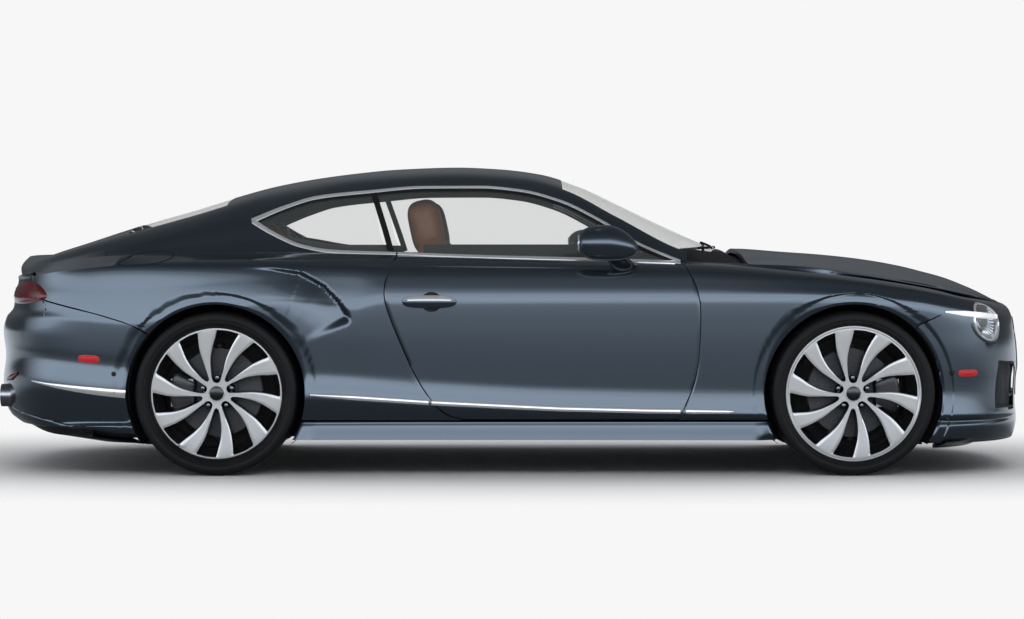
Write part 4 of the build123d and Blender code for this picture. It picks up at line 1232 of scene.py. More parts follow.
# %% Door handles
HANDLE_X, HANDLE_Z = -.3615, .780
HANDLE_Y = float(on_skin(HANDLE_X, HANDLE_Z)[1]) + .016
t, a = np.linspace(-1, 1, 40)[:, None], turn(28)[None]
size = (1 - np.abs(t) ** 3.2) ** (1 / 2.4)
grip = xyz(HANDLE_X + .245 / 2 * t, HANDLE_Y + .032 / 2 * size * np.cos(a),
           HANDLE_Z + .058 / 2 * size * np.sin(a))
for word, side in SIDES:
    obj = closed("door_handle_" + word, mirror(grip, side), "paint", "door_" + word, 60)
    second_finish(obj, "chrome", face_data(obj.data)[0][:, 2] > HANDLE_Z + .007)
BOWL_AT = (-.3525, .779)
blister("handle_bowl", BOWL_AT, oval(*BOWL_AT, .047, .045), -.016, "paint", "door_{side}", power=2.2,
        sink=0.0)
# A black disc a little larger than the bowl lies over it: painted shade of the hollow bowl.
blister("handle_bowl_painted_shade", BOWL_AT, oval(*BOWL_AT, .0475, .0455), .0006, "black_plastic", "door_{side}")

# %% [markdown]
# ## Spokes
# Ten windows of two kinds open the wheel's face. Each window has a low and a high edge, given as an angle
# over the radius. A spoke is the patch between one window's high edge and the next one's low edge. Past a
# window's end its two edges meet on its middle line, so the ten patches close to one face.

# %% Window edges and spoke patches
WINDOW_END = .2862
wide_low = line((.047, 74.8), (.10, 74.0), (.15, 74.3), (.20, 73.0), (.25, 70.8), (.286, 69.0))
wide_high = line((.047, 105.5), (.07, 107.0), (.10, 104.5), (.15, 100.8), (.20, 96.0), (.25, 91.5),
                 (.286, 89.6))
slim_low = line((.066, 46.5), (.10, 43.0), (.15, 40.8), (.20, 39.5), (.25, 36.8), (.286, 34.8))
slim_high = line((.066, 58.5), (.085, 61.6), (.10, 62.3), (.15, 61.8), (.20, 59.5), (.25, 55.8),
                 (.286, 53.6))
WINDOWS = [(slim_low, slim_high, .066, .010), (wide_low, wide_high, .047, .013)]


def window_edges(kind, angle, r, pull=0.0):
    """Low and high edge angle in radians of one window at each radius: rounded at both ends, and drawn
    together by pull metres."""
    low, high, start, corner = WINDOWS[kind]
    a, b = np.radians(low(r) + angle), np.radians(high(r) + angle)
    mid, half = (a + b) / 2, (b - a) / 2 * r - pull
    inner = np.clip((r - start) / corner, 0, 1)
    outer = np.clip((WINDOW_END - r) / .009, 0, 1)
    cut = corner * (1 - np.sqrt(1 - (1 - inner) ** 2)) + .009 * (1 - np.sqrt(1 - (1 - outer) ** 2))
    half = np.maximum(half - cut, 0) * ((r > start) & (r < WINDOW_END))
    return mid - half / r, mid + half / r


def bunch(low, high, count):
    """Radii between two ends, closer together at both."""
    return low + (high - low) * .5 * (1 - np.cos(np.linspace(0, math.pi, count)))


SPOKE_R = np.unique(np.concatenate([[.0355, .040, .0465], bunch(.0471, .0600, 14),
                                    bunch(.0661, .0760, 12), np.linspace(.08, .27, 28),
                                    bunch(.2765, .2861, 16), [.2863, .2890, .2925]]))


def face_point(r, a, depth):
    """Point of the wheel's face about the hub. The face is a shallow dish: 9 mm lower at the hub than
    at the rim."""
    dish = -.0095 * np.clip(1 - (r / .285) ** 2, 0, 1) ** 1.3
    return xyz(r * np.cos(a), dish + depth, r * np.sin(a))


def spoke_patch(kind, angle, depth=0.0, pull=0.0):
    """Grid r by v of the patch between window kind and the next one. The front patch has its edges
    rolled in by 1.6 mm along open windows."""
    other, other_angle = (1, angle) if kind == 0 else (0, angle + 72)
    a0 = window_edges(kind, angle, SPOKE_R, pull)[1]
    a1 = window_edges(other, other_angle, SPOKE_R, pull)[0]
    v = np.array([0, .02, .06, .2, .35, .5, .65, .8, .94, .98, 1.0])[None]
    opened = [np.subtract(*window_edges(*w, SPOKE_R)[::-1])[:, None] > .004
              for w in ((kind, angle), (other, other_angle))]
    roll = .0016 * (opened[0] * (1 - smoothstep(v / .06)) + opened[1] * smoothstep((v - .94) / .06))
    a = a0[:, None] + (a1 - a0)[:, None] * v
    return face_point(SPOKE_R[:, None], a, depth - roll * (depth == 0))


def window_wall(kind, angle):
    """Walls of one window: its closed outline at the face and at four depths behind it."""
    r = SPOKE_R[(SPOKE_R > WINDOWS[kind][2]) & (SPOKE_R < WINDOW_END)]
    rows = []
    for depth, pull in ((-.0016, 0), (-.004, -.0002), (-.020, .0012), (-.040, .0030), (-.052, .0050)):
        low, high = window_edges(kind, angle, r, pull)
        rows.append(face_point(np.append(r, r[::-1]), np.append(low, high[::-1]), depth))
    loop = np.array(rows)
    return np.concatenate([loop, loop[:, :1]], 1)


def on_wheel(p, word):
    """Place a hub-centred grid on a wheel: depth is measured inwards from the face plane."""
    axle, side, plane = WHEELS[word]
    return xyz(axle + p[..., 0], side * (plane + p[..., 1]), AXLE_Z + p[..., 2])


# %% Wheel faces, pockets and barrels
BARREL = [(.2925, -.0015), (.2925, -.012), (.288, -.030), (.283, -.060), (.277, -.080), (.262, -.095),
          (.262, -.150), (.279, -.165), (.285, -.215), (.302, -.222), (.302, -.228), (.281, -.226),
          (.272, -.170), (.2560, -.152), (.2560, -.092), (.270, -.074), (.278, -.050), (.2862, -.016)]
HUB = [(.058, -.050), (.066, -.053), (.068, -.062), (.068, -.110), (.030, -.112)]
TURNS = [(kind, 72 * k) for k in range(5) for kind in (0, 1)]
for word, (axle, side, plane) in WHEELS.items():
    body, out, back = "wheel_" + word, (0, side, 0), (0, -side, 0)
    face = joined("wheel_face_" + word, [(on_wheel(spoke_patch(*w), word), out) for w in TURNS],
                  "alloy_face", body, 50)
    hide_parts("wheel_" + word)
    pockets = [(on_wheel(spoke_patch(*w, -.052, .005), word), back) for w in TURNS]
    pockets += [(on_wheel(window_wall(*w), word), out) for w in TURNS]
    pocket = joined("wheel_pocket_" + word, pockets, "alloy_pocket", body, 40)
    disc_at("wheel_barrel", word, BARREL, "alloy_pocket", turns=120, closed=True)
    disc_at("wheel_hub", word, HUB, "alloy_pocket")
print("spoke face", len(face.data.polygons), "pockets", len(pocket.data.polygons))

# %% [markdown]
# ## Brakes
# A vented iron disc turns with the wheel. The caliper is a thick arc with rounded ends that rides the
# knuckle, and a pressed dust shield closes the back of the wheel. Five bolts sit in their wells.

# %% Discs, calipers, bolts and shields
DISC = [(.076, -.090), (.076, -.098), (.090, -.098), (.092, -.1005), (.196, -.1005), (.198, -.102),
        (.198, -.109), (.186, -.111), (.186, -.123), (.198, -.125), (.198, -.132), (.196, -.134),
        (.090, -.134), (.074, -.128), (.070, -.092)]
SHIELD = [(.060, -.170), (.150, -.172), (.160, -.166), (.215, -.166), (.225, -.172), (.248, -.170),
          (.2545, -.150), (.2545, -.120), (.2530, -.120), (.2525, -.150), (.247, -.174), (.160, -.176),
          (.060, -.176)]
BOLT = [(.0002, -.030), (.006, -.030), (.0085, -.0305), (.0095, -.032), (.0100, -.046), (.0135, -.050)]


def caliper_grid(middle):
    """Loops round the caliper's section, along the arc, shrunk to rounded ends, about an angle."""
    t, u = np.linspace(-1, 1, 44)[:, None], turn(40)[None]
    shrink = np.clip(1 - np.abs(t) ** 7, .002, 1) ** .5
    rib = 1 + .030 * (np.abs(t) < .16) * (np.cos(u) > .2)
    r = .1625 + .060 * signed_power(np.cos(u), .35) * shrink * rib
    depth = -.0525 * signed_power(np.sin(u), .30) * shrink - .1175
    a = np.radians(middle + 31 * t)
    return xyz(r * np.cos(a), depth, r * np.sin(a))


for word in WHEELS:
    at_front = word.startswith("front")
    carrier = "knuckle_" + word[6:] if at_front else "body"
    disc_at("brake_disc", word, DISC, "cast_iron", closed=True)
    disc_at("dust_shield", word, SHIELD, "underbody", carrier, closed=True)
    closed("caliper_" + word, on_wheel(caliper_grid(0 if at_front else 180), word), "caliper_paint", carrier)
    for k in range(5):
        a = math.radians(90 + 72 * k)
        bolt = turned(BOLT, (0, 0, 0), 18) + np.array([.0685 * math.cos(a), 0, .0685 * math.sin(a)])
        closed("bolt_%s_%d" % (word, k), on_wheel(bolt, word), "dark_chrome", "wheel_" + word, 40,
               wrap_rows=True)
print("brakes on", len(WHEELS), "wheels")

# %% [markdown]
# ## Head lamps
# A round lamp sits at each front corner with a slim light bar across it. Under the clear cover there is a
# deep bright bowl with cut-crystal ribs, and a lens in the middle. The cover follows the body.

# %% Head lamps
def lamp_disc(radii, depths, spokes=72, ripple=0.0, facets=24):
    """Rings round the lamp's centre in the front view, pushed back along the lamp's axis by depths. A
    ripple makes crystal ribs: the depth waves with the angle."""
    r, d = np.array(radii)[:, None], np.array(depths)[:, None]
    a = turn(spokes)[None]
    p = end_at(LAMP_Y + r * LAMP_RY * np.cos(a), LAMP_Z + r * LAMP_RZ * np.sin(a))
    wave = ripple * np.abs(np.sin(facets * a / 2)) * (r > .45) * (r < .95)
    return p + (d + wave)[..., None] * np.array([-.78, -.62, 0])


for name, material, rings in (
        ("lamp_rim", "paint", ([1.27, 1.20, 1.10, 1.04], [.0015, -.0012, -.0016, .004])),
        ("lamp_bezel", "chrome", ([1.10, 1.09, 1.06, 1.02, .99, .97],
                                  [.004, -.003, -.0055, -.0055, -.002, .012])),
        ("lamp_bowl", "lamp_bowl", ([.99, .96, .80, .62, .46, .40], [.004, .020, .036, .046, .050, .030],
                                    144, -.006, 36)),
        ("lamp_lens", "lamp_glass", ([.41, .38, .30, .18, .02], [.034, .026, .021, .018, .017])),
        ("lamp_core", "gloss_black", ([.40, .30, .15, .02], [.046, .044, .043, .043])),
        ("lamp_cover", "lamp_glass", ([.985, .9, .7, .45, .2, .01],
                                      [-.001, -.004, -.008, -.0105, -.0115, -.012]))):
    made = pair(name, lamp_disc(*rings), (1, .6, 0), material, angle=40, wrap_cols=True)
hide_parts("headlamps")
strip("light_bar", [(1.940, .7345), (2.02, .7275), (2.12, .717), (2.205, .7075)],
      [.006, .022, .024, .020], .008, "lamp_light", count=60, passes=1)

# %% [markdown]
# ## Grilles
# The main grille has a bright frame and the side intakes a black one, each round a dark mesh. The mesh is
# a sheet of diamond cells: a grid turned by 45 degrees, from which the middle of each cell is left out. It
# is given its thickness by a modifier.

# %% Grille meshes and frames
def diamond_mesh(name, outline, pitch, back, squeeze=.62, sub=5):
    """Diamond lattice inside a front-view outline, set back behind the nose by back."""
    o = np.array(outline)
    lo, hi = o.min(0) - .02, o.max(0) + .02
    n = int((hi - lo).sum() / pitch) * sub
    i, j = lattice(np.arange(-n, n + 1), np.arange(-n, n + 1))
    mid = (lo + hi) / 2
    y = mid[0] + (i + j) * pitch / sub / 2
    z = mid[1] + (i - j) * pitch / sub / 2 * squeeze
    cell_i, cell_j = lattice(np.arange(2 * n) % sub, np.arange(2 * n) % sub)
    quads = np.logical_and.reduce(corners(within(outline, y, z))) & ((cell_i == 0) | (cell_j == 0))
    used = np.zeros(y.shape, bool)
    for corner in corners(used):
        corner |= quads
    index = np.full(y.shape, -1)
    index[used] = np.arange(used.sum())
    faces = np.stack([index[:-1, :-1], index[1:, :-1], index[1:, 1:], index[:-1, 1:]], -1)[quads]
    obj = mesh_from(name, on_end(y[used], z[used], -back), faces, "dark_chrome", angle=40)
    wall(obj, .005)
    return obj


def end_strip(name, outline, width, proud, material, side=LEFT, place=on_end):
    """A closed strip round a front-view or rear-view outline."""
    path = resample(np.array(outline + outline[:1], float), 201)[:-1]
    p = mirror(strip_points(path, width, proud, place), side)
    flip = looks_in(p, (1 if place == on_end else -1, 0, 0))
    mesh_from(name, p, grid_faces(*p.shape[:2], wrap_rows=True, flip=flip), material, angle=50)


main_mesh = diamond_mesh("grille_mesh", GRILLE, .034, .022)
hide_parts("grille")
end_strip("grille_frame", GRILLE, .022, .004, "dark_chrome")
for word, side in SIDES:
    end_strip("intake_frame_" + word, INTAKE, .010, .002, "black_plastic", side)
    diamond_mesh("intake_mesh_" + word, [(side * y, z) for y, z in INTAKE], .030, .020)
# A dark sheet 55 mm behind the nose closes grille and intakes: it stands for the radiator, and is painted
# shade in the openings.
y, z = lattice(np.linspace(-.80, .80, 60), np.linspace(.30, .70, 12))
panel("radiator_painted_shade", on_end(y, z, -.055), (1, 0, 0), "underbody")
print("grille faces", len(main_mesh.data.polygons))

# %% [markdown]
# ## Tail lamps and rear details
# Each tail lamp is a long red teardrop round the rear corner, with a dark body and fine ribs. The rear
# plate stays blank. Low reflectors sit beside the tail pipes.

# %% Tail lamps
TAIL_OUTLINE = [(.500, .815), (.520, .842), (.575, .862), (.660, .871), (.760, .871), (.830, .860),
                (.872, .832), (.893, .803), (.880, .785), (.840, .774), (.760, .767), (.660, .765),
                (.575, .770), (.520, .788)]
loop = rounded(TAIL_OUTLINE + TAIL_OUTLINE[:2], 97, 2)[:-1]
blister("tail_lamp", (.70, .818), loop, .014, "red_lens", place=on_tail, outward=(-1, .5, 0), rings=14,
        power=4, sink=.008)
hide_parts("tail_lamps")
BACKWARDS = {"place": on_tail, "outward": (-1, 0, 0), "passes": 1}
for k, z in enumerate((.800, .836)):
    strip("tail_rib_%d" % k, [(.56, z), (.66, z + .002), (.76, z), (.85, z - .006)], .005, .0185,
          "gloss_black", count=40, **BACKWARDS)
strip("rear_reflector", [(.66, .420), (.72, .432), (.78, .452)], [.012, .030, .010], .008, "red_lens",
      count=30, **BACKWARDS)
PLATE = [(-.255, .500), (.255, .500), (.255, .615), (-.255, .615)]
y, z = lattice(np.linspace(-.25, .25, 30), np.linspace(.502, .613, 8))
panel("rear_plate", hem(on_tail(y, z, .006), (-1, 0, 0), .006), (-1, 0, 0), "plate_white")
end_strip("plate_frame", PLATE, .012, .010, "gloss_black", place=on_tail)

# %% [markdown]
# ## Lip, diffuser and splash guards
# The lip under the nose and the diffuser under the tail are dark loops carried along the plan of each end,
# so they keep their distance from the bumper. Guards behind the wheels close the view under the sills.

# %% Front lip
LIP = np.array([(-.036, .252), (-.012, .240), (-.001, .228), (-.001, .219), (-.020, .205), (-.090, .166),
                (-.200, .123), (-.215, .128), (-.215, .190), (-.080, .236)])
LIP_FROM, LIP_FOOT = .20, .120
theta = np.linspace(LIP_FROM, math.pi / 2, 80)[:, None]
dx, z = LIP[None, :, 0], LIP[None, :, 1]
z = LIP_FOOT + (z - LIP_FOOT) * (.28 + .72 * smoothstep((theta - LIP_FROM) / .75))
x = FRONT_SWEEP + (2.398 + dx - FRONT_SWEEP) * np.sin(theta) ** (2 / NOSE_POWER)
y = (.934 + .5 * np.maximum(dx, -.10)) * np.cos(theta) ** (2 / NOSE_POWER)
half = xyz(x, y, z)
closed("front_lip", np.concatenate([half, mirror(half, RIGHT)[::-1][1:]]), "gloss_black", angle=40,
       replaces="front_splitter")


# %% Rear diffuser
def diffuser_half(count=90):
    """A band on the tail's surface from a rising upper edge to the bottom, then a floor forwards."""
    y = .934 * np.cos(np.linspace(0, math.pi / 2, count)[:, None]) ** .9
    reach = smoothstep((.93 - y) / .40)
    top, low = .206 + .104 * reach, .176 + .066 * reach
    v = np.array([0, .02, .25, .5, .75, 1.0])[None]
    p = end_at(y + 0 * v, top + (low - top) * v, False)
    p[..., 0] -= .006 * smoothstep(v / .02) * (1 - .3 * v)
    fin = .5 + .5 * np.cos(2 * math.pi * p[..., 1] / .19)
    p[..., 0] += (.030 * (1 - fin ** .35) * smoothstep((.56 - np.abs(p[..., 1])) / .05)
                  * smoothstep((v - .1) / .2))
    floor = [p[:, -1:] + np.array([dx, 0, dz]) for dx, dz in ((.03, -.004), (.20, -.030), (.42, -.040))]
    return np.concatenate([p] + floor, 1)


band = diffuser_half()
panel("diffuser", np.concatenate([band, mirror(band, RIGHT)[::-1][1:]]), (-1, 0, -.2), "gloss_black",
      replaces="rear_diffuser")

# %% Splash guards and painted shade behind the seams
GUARD_Y, LINER = .436, .4085
parts = []
for axle in (FRONT_AXLE, REAR_AXLE):
    for x0, x1 in ((.19, .385), (-.385, -.19)):
        low = .105 if x0 * (axle - .1) > 0 else .142
        x, z = lattice(axle + np.linspace(x0, x1, 12), np.linspace(low, .26, 10))
        guard = xyz(x, GUARD_Y + .004 * np.sin(60 * z), z)
        parts += [(mirror(guard, side), (0, side, 0)) for word, side in SIDES]
start = math.radians(-33)
angles = np.linspace(start, math.pi - start, 90)
path = [(LINER * math.cos(start) - .012, .140)]
path += [(LINER * math.cos(a), LINER * math.sin(a) + AXLE_Z) for a in angles]
path = np.array(path + [(-path[0][0], path[0][1])])
y = np.array([.902, .88, .80, .70, .60, .50, .437])[None]
for axle in (FRONT_AXLE, REAR_AXLE):
    liner = xyz(axle + path[:, :1], y, path[:, 1:] + .0012 * np.sin(y * 160))
    parts += [(mirror(liner, side), (0, 0, -1)) for word, side in SIDES]
joined("splash_guards", parts, "underbody")
# A gloss black sheet 30 mm inside the lower flank between the wheels shows through the seams of sill and
# doors: painted shade in the gaps.
seam = upper(np.linspace(-.86, 1.085, 80), np.linspace(.6, 4.4, 16)) - np.array([0, .030, 0])
joined("seam_painted_shade", [(mirror(seam, side), (0, side, 0)) for word, side in SIDES], "gloss_black")
print("lip, diffuser and guards made")

# %% [markdown]
# ## Dashboard
# The dashboard's section is a closed curve, carried across the car. Its ends are drawn in, and a hood
# rises over the instruments in front of the driver. The console is carried along the car in the same way.

# %% Dashboard and console
def closed_curve(points, count, passes=4):
    """Even points round a closed polygon, rounded by averaging each with its neighbours."""
    p = resample(np.array(points + points[:1], float), count * 3 + 1)[:-1]
    for _ in range(passes * 6):
        p = .25 * np.roll(p, 1, 0) + .5 * p + .25 * np.roll(p, -1, 0)
    return p[::3]


DASH = closed_curve([(.895, .50), (.90, .865), (.83, .925), (.56, .925), (.462, .872), (.462, .80),
                     (.53, .77), (.545, .70), (.70, .485)], 70)
t = np.linspace(-1, 1, 90)[:, None]
y = .735 * signed_power(t, .9)
shrink = .2 + .8 * np.clip(1 - np.abs(t) ** 14, 0, 1) ** .5
middle = DASH.mean(0)
x, z = (middle[k] + (DASH[None, :, k] - middle[k]) * shrink for k in (0, 1))
hood = (.030 * np.exp(-((y - .375) / .16) ** 4) * smoothstep((z - .86) / .04)
        * smoothstep((.66 - x) / .10))
dash = xyz(x + .035 * (y / .735) ** 2 * (x < .6), y, z + hood)
closed("dash_skin", dash, "dash_vinyl", angle=40, replaces="dashboard")
CONSOLE = closed_curve([(-.105, .19), (-.105, .42), (-.06, .445), (.06, .445), (.105, .42), (.105, .19)],
                       40, 2)
x = np.linspace(-.50, .56, 60)[:, None]
y, z = CONSOLE[None, :, 0], CONSOLE[None, :, 1]
lift = (.115 * smoothstep((-.04 - x) / .06) * smoothstep((x + .47) / .05)
        + .16 * smoothstep((x - .36) / .20))
closed("console", xyz(x, y, z + lift * smoothstep((z - .30) / .1)), "brown_leather")
print("dashboard made")

# %% [markdown]
# ## Door mirrors
# The mirror head is an egg, blunt behind and drawn out to the front, on a short arm that grows out of the
# door. Its rear is closed by a flat glass in a bright ring.

# %% Door mirrors
MIRROR_X, MIRROR_Y, MIRROR_Z = .432, 1.000, 1.042
t, a = np.linspace(-.93, 1, 48)[:, None], turn(40)[None]
size = (1 - np.abs(np.minimum(t, 0)) ** 3.4) ** .5 * (1 - np.maximum(t, 0) ** 1.9) ** .62
drop = -.026 * np.maximum(t, 0) ** 1.5
head = xyz(MIRROR_X + .137 * t, MIRROR_Y + .084 * size * np.cos(a),
           MIRROR_Z + drop + .079 * size * np.sin(a))
t, a_arm = np.linspace(0, 1, 14)[:, None], turn(20)[None]
p = rounded([(.515, .835, .930), (.512, .885, .935), (.490, .940, .955), (.460, .985, .985)], 14)[:, None]
arm = xyz(p[..., 0] + (.062 - .020 * t) * np.cos(a_arm), p[..., 1],
          p[..., 2] + (.030 - .006 * t) * np.sin(a_arm))
r = np.array([1.0, 1.0, .93, .90, .02])[:, None]
dx = np.array([.004, -.004, -.005, -.001, -.001])[:, None]
ring_y, ring_z = np.ptp(head[0, :, 1]) / 2, np.ptp(head[0, :, 2]) / 2
face = xyz(head[0, 0, 0] + dx, MIRROR_Y + ring_y * r * np.cos(a), MIRROR_Z + ring_z * r * np.sin(a))
for word, side in SIDES:
    body = "door_" + word
    closed("mirror_head_" + word, mirror(head, side), "paint", body, replaces="mirror_" + word)
    closed("mirror_arm_" + word, mirror(arm, side), "gloss_black", body)
    closed("mirror_glass_" + word, mirror(face, side), "chrome", body, 40)
print("mirror head spans", np.ptp(head.reshape(-1, 3), axis=0))

# %% [markdown]
# ## Cowl and wipers
# Between hood and windscreen lies a dark trough with the wipers. It also covers the hood's hinges. Its
# painted corners fill the place between windscreen pillar, door and hood.

# %% Cowl and wipers
def between(low, front, rows, u):
    """Patch from a line of stations to the hood's bowed rear edge."""
    edge = front - .02 * ((rows - 12) / 5) ** 2
    return flank(low + (edge - low) * u, rows)


u = np.linspace(0, 1, 16)[:, None]
rows = 14.2 + (CROWN - 14.2) * np.linspace(0, 1, 40)[None]
cowl = between(.772 + (.990 - .772) * smoothstep((rows - 15) / 1.4), 1.125, rows, u)
cowl[..., 2] -= .004 + .030 * smoothstep(u / .6) * smoothstep((rows - 14.2) / .6)
panel("cowl", across(cowl), (0, 0, 1), "black_plastic")
rows = 12.03 + (14.25 - 12.03) * np.linspace(0, 1, 26)[None]
corner = between(.775 + .02 * smoothstep((rows - 13) / 1.2), 1.0785, rows, np.linspace(0, 1, 24)[:, None])
corner[..., 2] -= .0005
pair("cowl_corner", corner, (0, .3, 1))


def on_screen(x, y, lift=.004):
    """Point above the windscreen or cowl at x, y, found by halving the row."""
    x, y = np.broadcast_arrays(np.asarray(x, float), np.asarray(y, float))
    a, b = np.full(x.shape, 13.0), np.full(x.shape, 17.0)
    for _ in range(17):
        mid = (a + b) / 2
        outside = skin(x, mid)[0] > np.abs(y)
        a, b = np.where(outside, mid, a), np.where(outside, b, mid)
    return xyz(x, y, skin(x, a)[1] + lift)


def rod_along(p, radius, count=8):
    """A round bar along a path, its rings square to the path."""
    d = np.gradient(p, axis=0)
    d /= np.linalg.norm(d, axis=1, keepdims=True)
    level = np.cross(d, (0, 0, 1.0))
    level /= np.linalg.norm(level, axis=1, keepdims=True)
    a = turn(count)[None, :, None]
    return p[:, None] + radius * (level[:, None] * np.cos(a) + np.cross(level, d)[:, None] * np.sin(a))


t = np.linspace(0, 1, 30)
for k, (y0, y1) in enumerate(((.62, .02), (.02, -.56))):
    y = y0 + (y1 - y0) * t
    blade = on_screen(.955 - .035 * np.abs(2 * t - 1) ** 2 - .10 * y ** 2 * 1.6, y)
    arm = on_screen(.985 - .035 * t, y0 + .02 + (y1 - y0) * .55 * t)
    closed("wiper_blade_%d" % k, rod_along(blade, .006), "black_plastic", angle=60)
    closed("wiper_arm_%d" % k, rod_along(arm, .007), "black_plastic", angle=60)

# %% [markdown]
# ## Seats
# A seat pad is a superellipsoid: a ball whose circles are swollen towards a box. Side bolsters rise along
# its long edges and sewn flutes run down its middle, as small waves on the crown.

# %% Seat pads
def pad(centre, size, tilt, bolster, flutes, box=(.42, .34), rows=40, cols=84, taper=0.0):
    """Superellipsoid with half axes size in (length, width, thickness), bolsters and 6 mm flutes on its
    front face, turned about Y by tilt in degrees and moved to centre."""
    u, v = np.linspace(-math.pi / 2, math.pi / 2, rows)[:, None], turn(cols)[None]
    a = signed_power(np.cos(u), box[0]) * signed_power(np.cos(v), box[1])
    b = signed_power(np.cos(u), box[0]) * signed_power(np.sin(v), box[1])
    c = signed_power(np.sin(u), .75)
    up = np.clip(c, 0, 1)
    c = c + bolster * smoothstep((np.abs(b) - .62) / .3) * up / size[2]
    wave = 1 - np.abs(np.sin(math.pi * b * flutes / 2)) ** .5
    sewn = smoothstep((.66 - np.abs(b)) / .06) * smoothstep((.86 - np.abs(a)) / .06)
    c = c - .006 / size[2] * wave * up * sewn
    x, y, z = a * size[0], b * size[1] * (1 - taper * (a + 1) / 2), c * size[2]
    t = math.radians(tilt)
    return xyz(centre[0] + x * math.cos(t) - z * math.sin(t), centre[1] + y,
               centre[2] + x * math.sin(t) + z * math.cos(t))


PADS = {
    "seat_cushion": ((.030, .385, .385), (.265, .255, .075), 6, .035, 10),
    "seat_back": ((-.268, .385, .745), (.345, .250, .085), 109, .035, 10, (.42, .34), 40, 84, .18),
    "seat_head": ((-.392, .385, 1.118), (.128, .150, .078), 102, .012, 6, (.5, .5), 40, 80),
    "rear_cushion": ((-.735, .225, .415), (.185, .195, .060), 6, .03, 8),
    "rear_back": ((-1.035, .225, .700), (.290, .195, .060), 110, .03, 8),
    "rear_head": ((-1.118, .235, 1.050), (.085, .120, .045), 106, .008, 5, (.55, .5), 36, 70),
}
REPLACED = {"seat_cushion": "front_seats", "rear_cushion": "rear_bench"}
for word, side in SIDES:
    for name, (centre, *sizes) in PADS.items():
        p = pad(mirror(centre, side), *sizes)
        obj = mesh_from(name + "_" + word, p, grid_faces(*p.shape[:2], wrap_cols=True), "brown_leather",
                        angle=60)
        rework(obj, .0002, outwards=True)
        if name in REPLACED:
            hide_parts(REPLACED[name])
print("pads", 2 * len(PADS))

# %% [markdown]
# ## Cabin lining
# Door cards, side trim, headliner and shelf close the cabin, so that the windows show a finished room.

# %% Cabin lining
def card(x0, x1, z0, z1, y, arm_z, arm_depth):
    """A lining sheet at y with a soft armrest ridge at arm_z that stands inwards by arm_depth."""
    x, z = lattice(np.linspace(x0, x1, 60), np.linspace(z0, z1, 40))
    ends = smoothstep((x - x0) / .12) * smoothstep((x1 - x) / .20)
    ridge = np.exp(-(np.abs(z - arm_z) / .055) ** 3.0)
    pocket = np.exp(-(np.abs(z - z0 - .10) / .05) ** 4) * .5
    return xyz(x, y - arm_depth * ends * (ridge + pocket), z)


door_card = card(-.395, .720, .275, 1.0, .822, .640, .055)
x, z = door_card[..., 0], door_card[..., 2]
x += .10 * (z < .5) * (.5 - z) * (x < 0)
roll = smoothstep((z - .93) / .07)
door_card[..., 1] -= .075 * roll
z += .036 * roll * smoothstep((.60 - x) / .25)
rear_card = card(-1.150, -.545, .835, 1.0, .735, .66, 0)
x, z = rear_card[..., 0], rear_card[..., 2]
roll = smoothstep((z - .95) / .05)
rear_card[..., 1] -= .045 * roll
z += (.035 + .045 * smoothstep((-.75 - x) / .36)) * roll
for lining in pair("door_card", door_card, (0, -1, 0), "brown_leather", "door_{side}"):
    second_finish(lining, "dash_vinyl", face_data(lining.data)[0][:, 2] > .948)
pair("rear_card", rear_card, (0, -1, 0), "dash_vinyl")
liner = across(upper(np.linspace(-1.30, .215, 60), np.linspace(14.12, CROWN, 24)))
liner[..., 2] -= .028
liner[..., 1] *= .975
panel("headliner", liner, (0, 0, -1), "headliner")
x, y = lattice(np.linspace(-1.70, -1.21, 20), np.linspace(-.55, .55, 30))
panel("parcel_shelf", xyz(x, y, .940 + .012 * np.cos(3 * y)), (0, 0, 1), "carpet")
print("lining made")

# %% [markdown]
# ## Studio
# A pale sweep, a large soft ceiling light and two strip lights light the car. The world is near white for
# the camera, and a little darker for the light that it gives. The floor keeps the car's shadow near the
# car and melts into the world further out.

# %% World and floor
scene = bpy.context.scene
scene.view_settings.view_transform = "Standard"
BACKDROP = (.930, .930, .930, 1)


def place_in_scene(name, data):
    """A new object in the scene."""
    obj = bpy.data.objects.new(name, data)
    scene.collection.objects.link(obj)
    return obj


world = scene.world = bpy.data.worlds.new("studio")
world.use_nodes = True
tree = world.node_tree
tree.nodes.clear()
rays = node(tree, "LightPath").outputs
seen = node(tree, "Math", {0: rays["Is Camera Ray"], 1: rays["Is Transmission Ray"]}, operation="MAXIMUM")
seen = node(tree, "Math", {0: seen.outputs[0], 1: rays["Is Glossy Ray"]}, operation="MAXIMUM")
dim = node(tree, "Background", {"Color": (.42, .43, .45, 1)})
pale = node(tree, "Background", {"Color": BACKDROP})
mix = node(tree, "MixShader", {0: seen.outputs[0], 1: dim.outputs[0], 2: pale.outputs[0]})
node(tree, "OutputWorld", {"Surface": mix.outputs[0]})

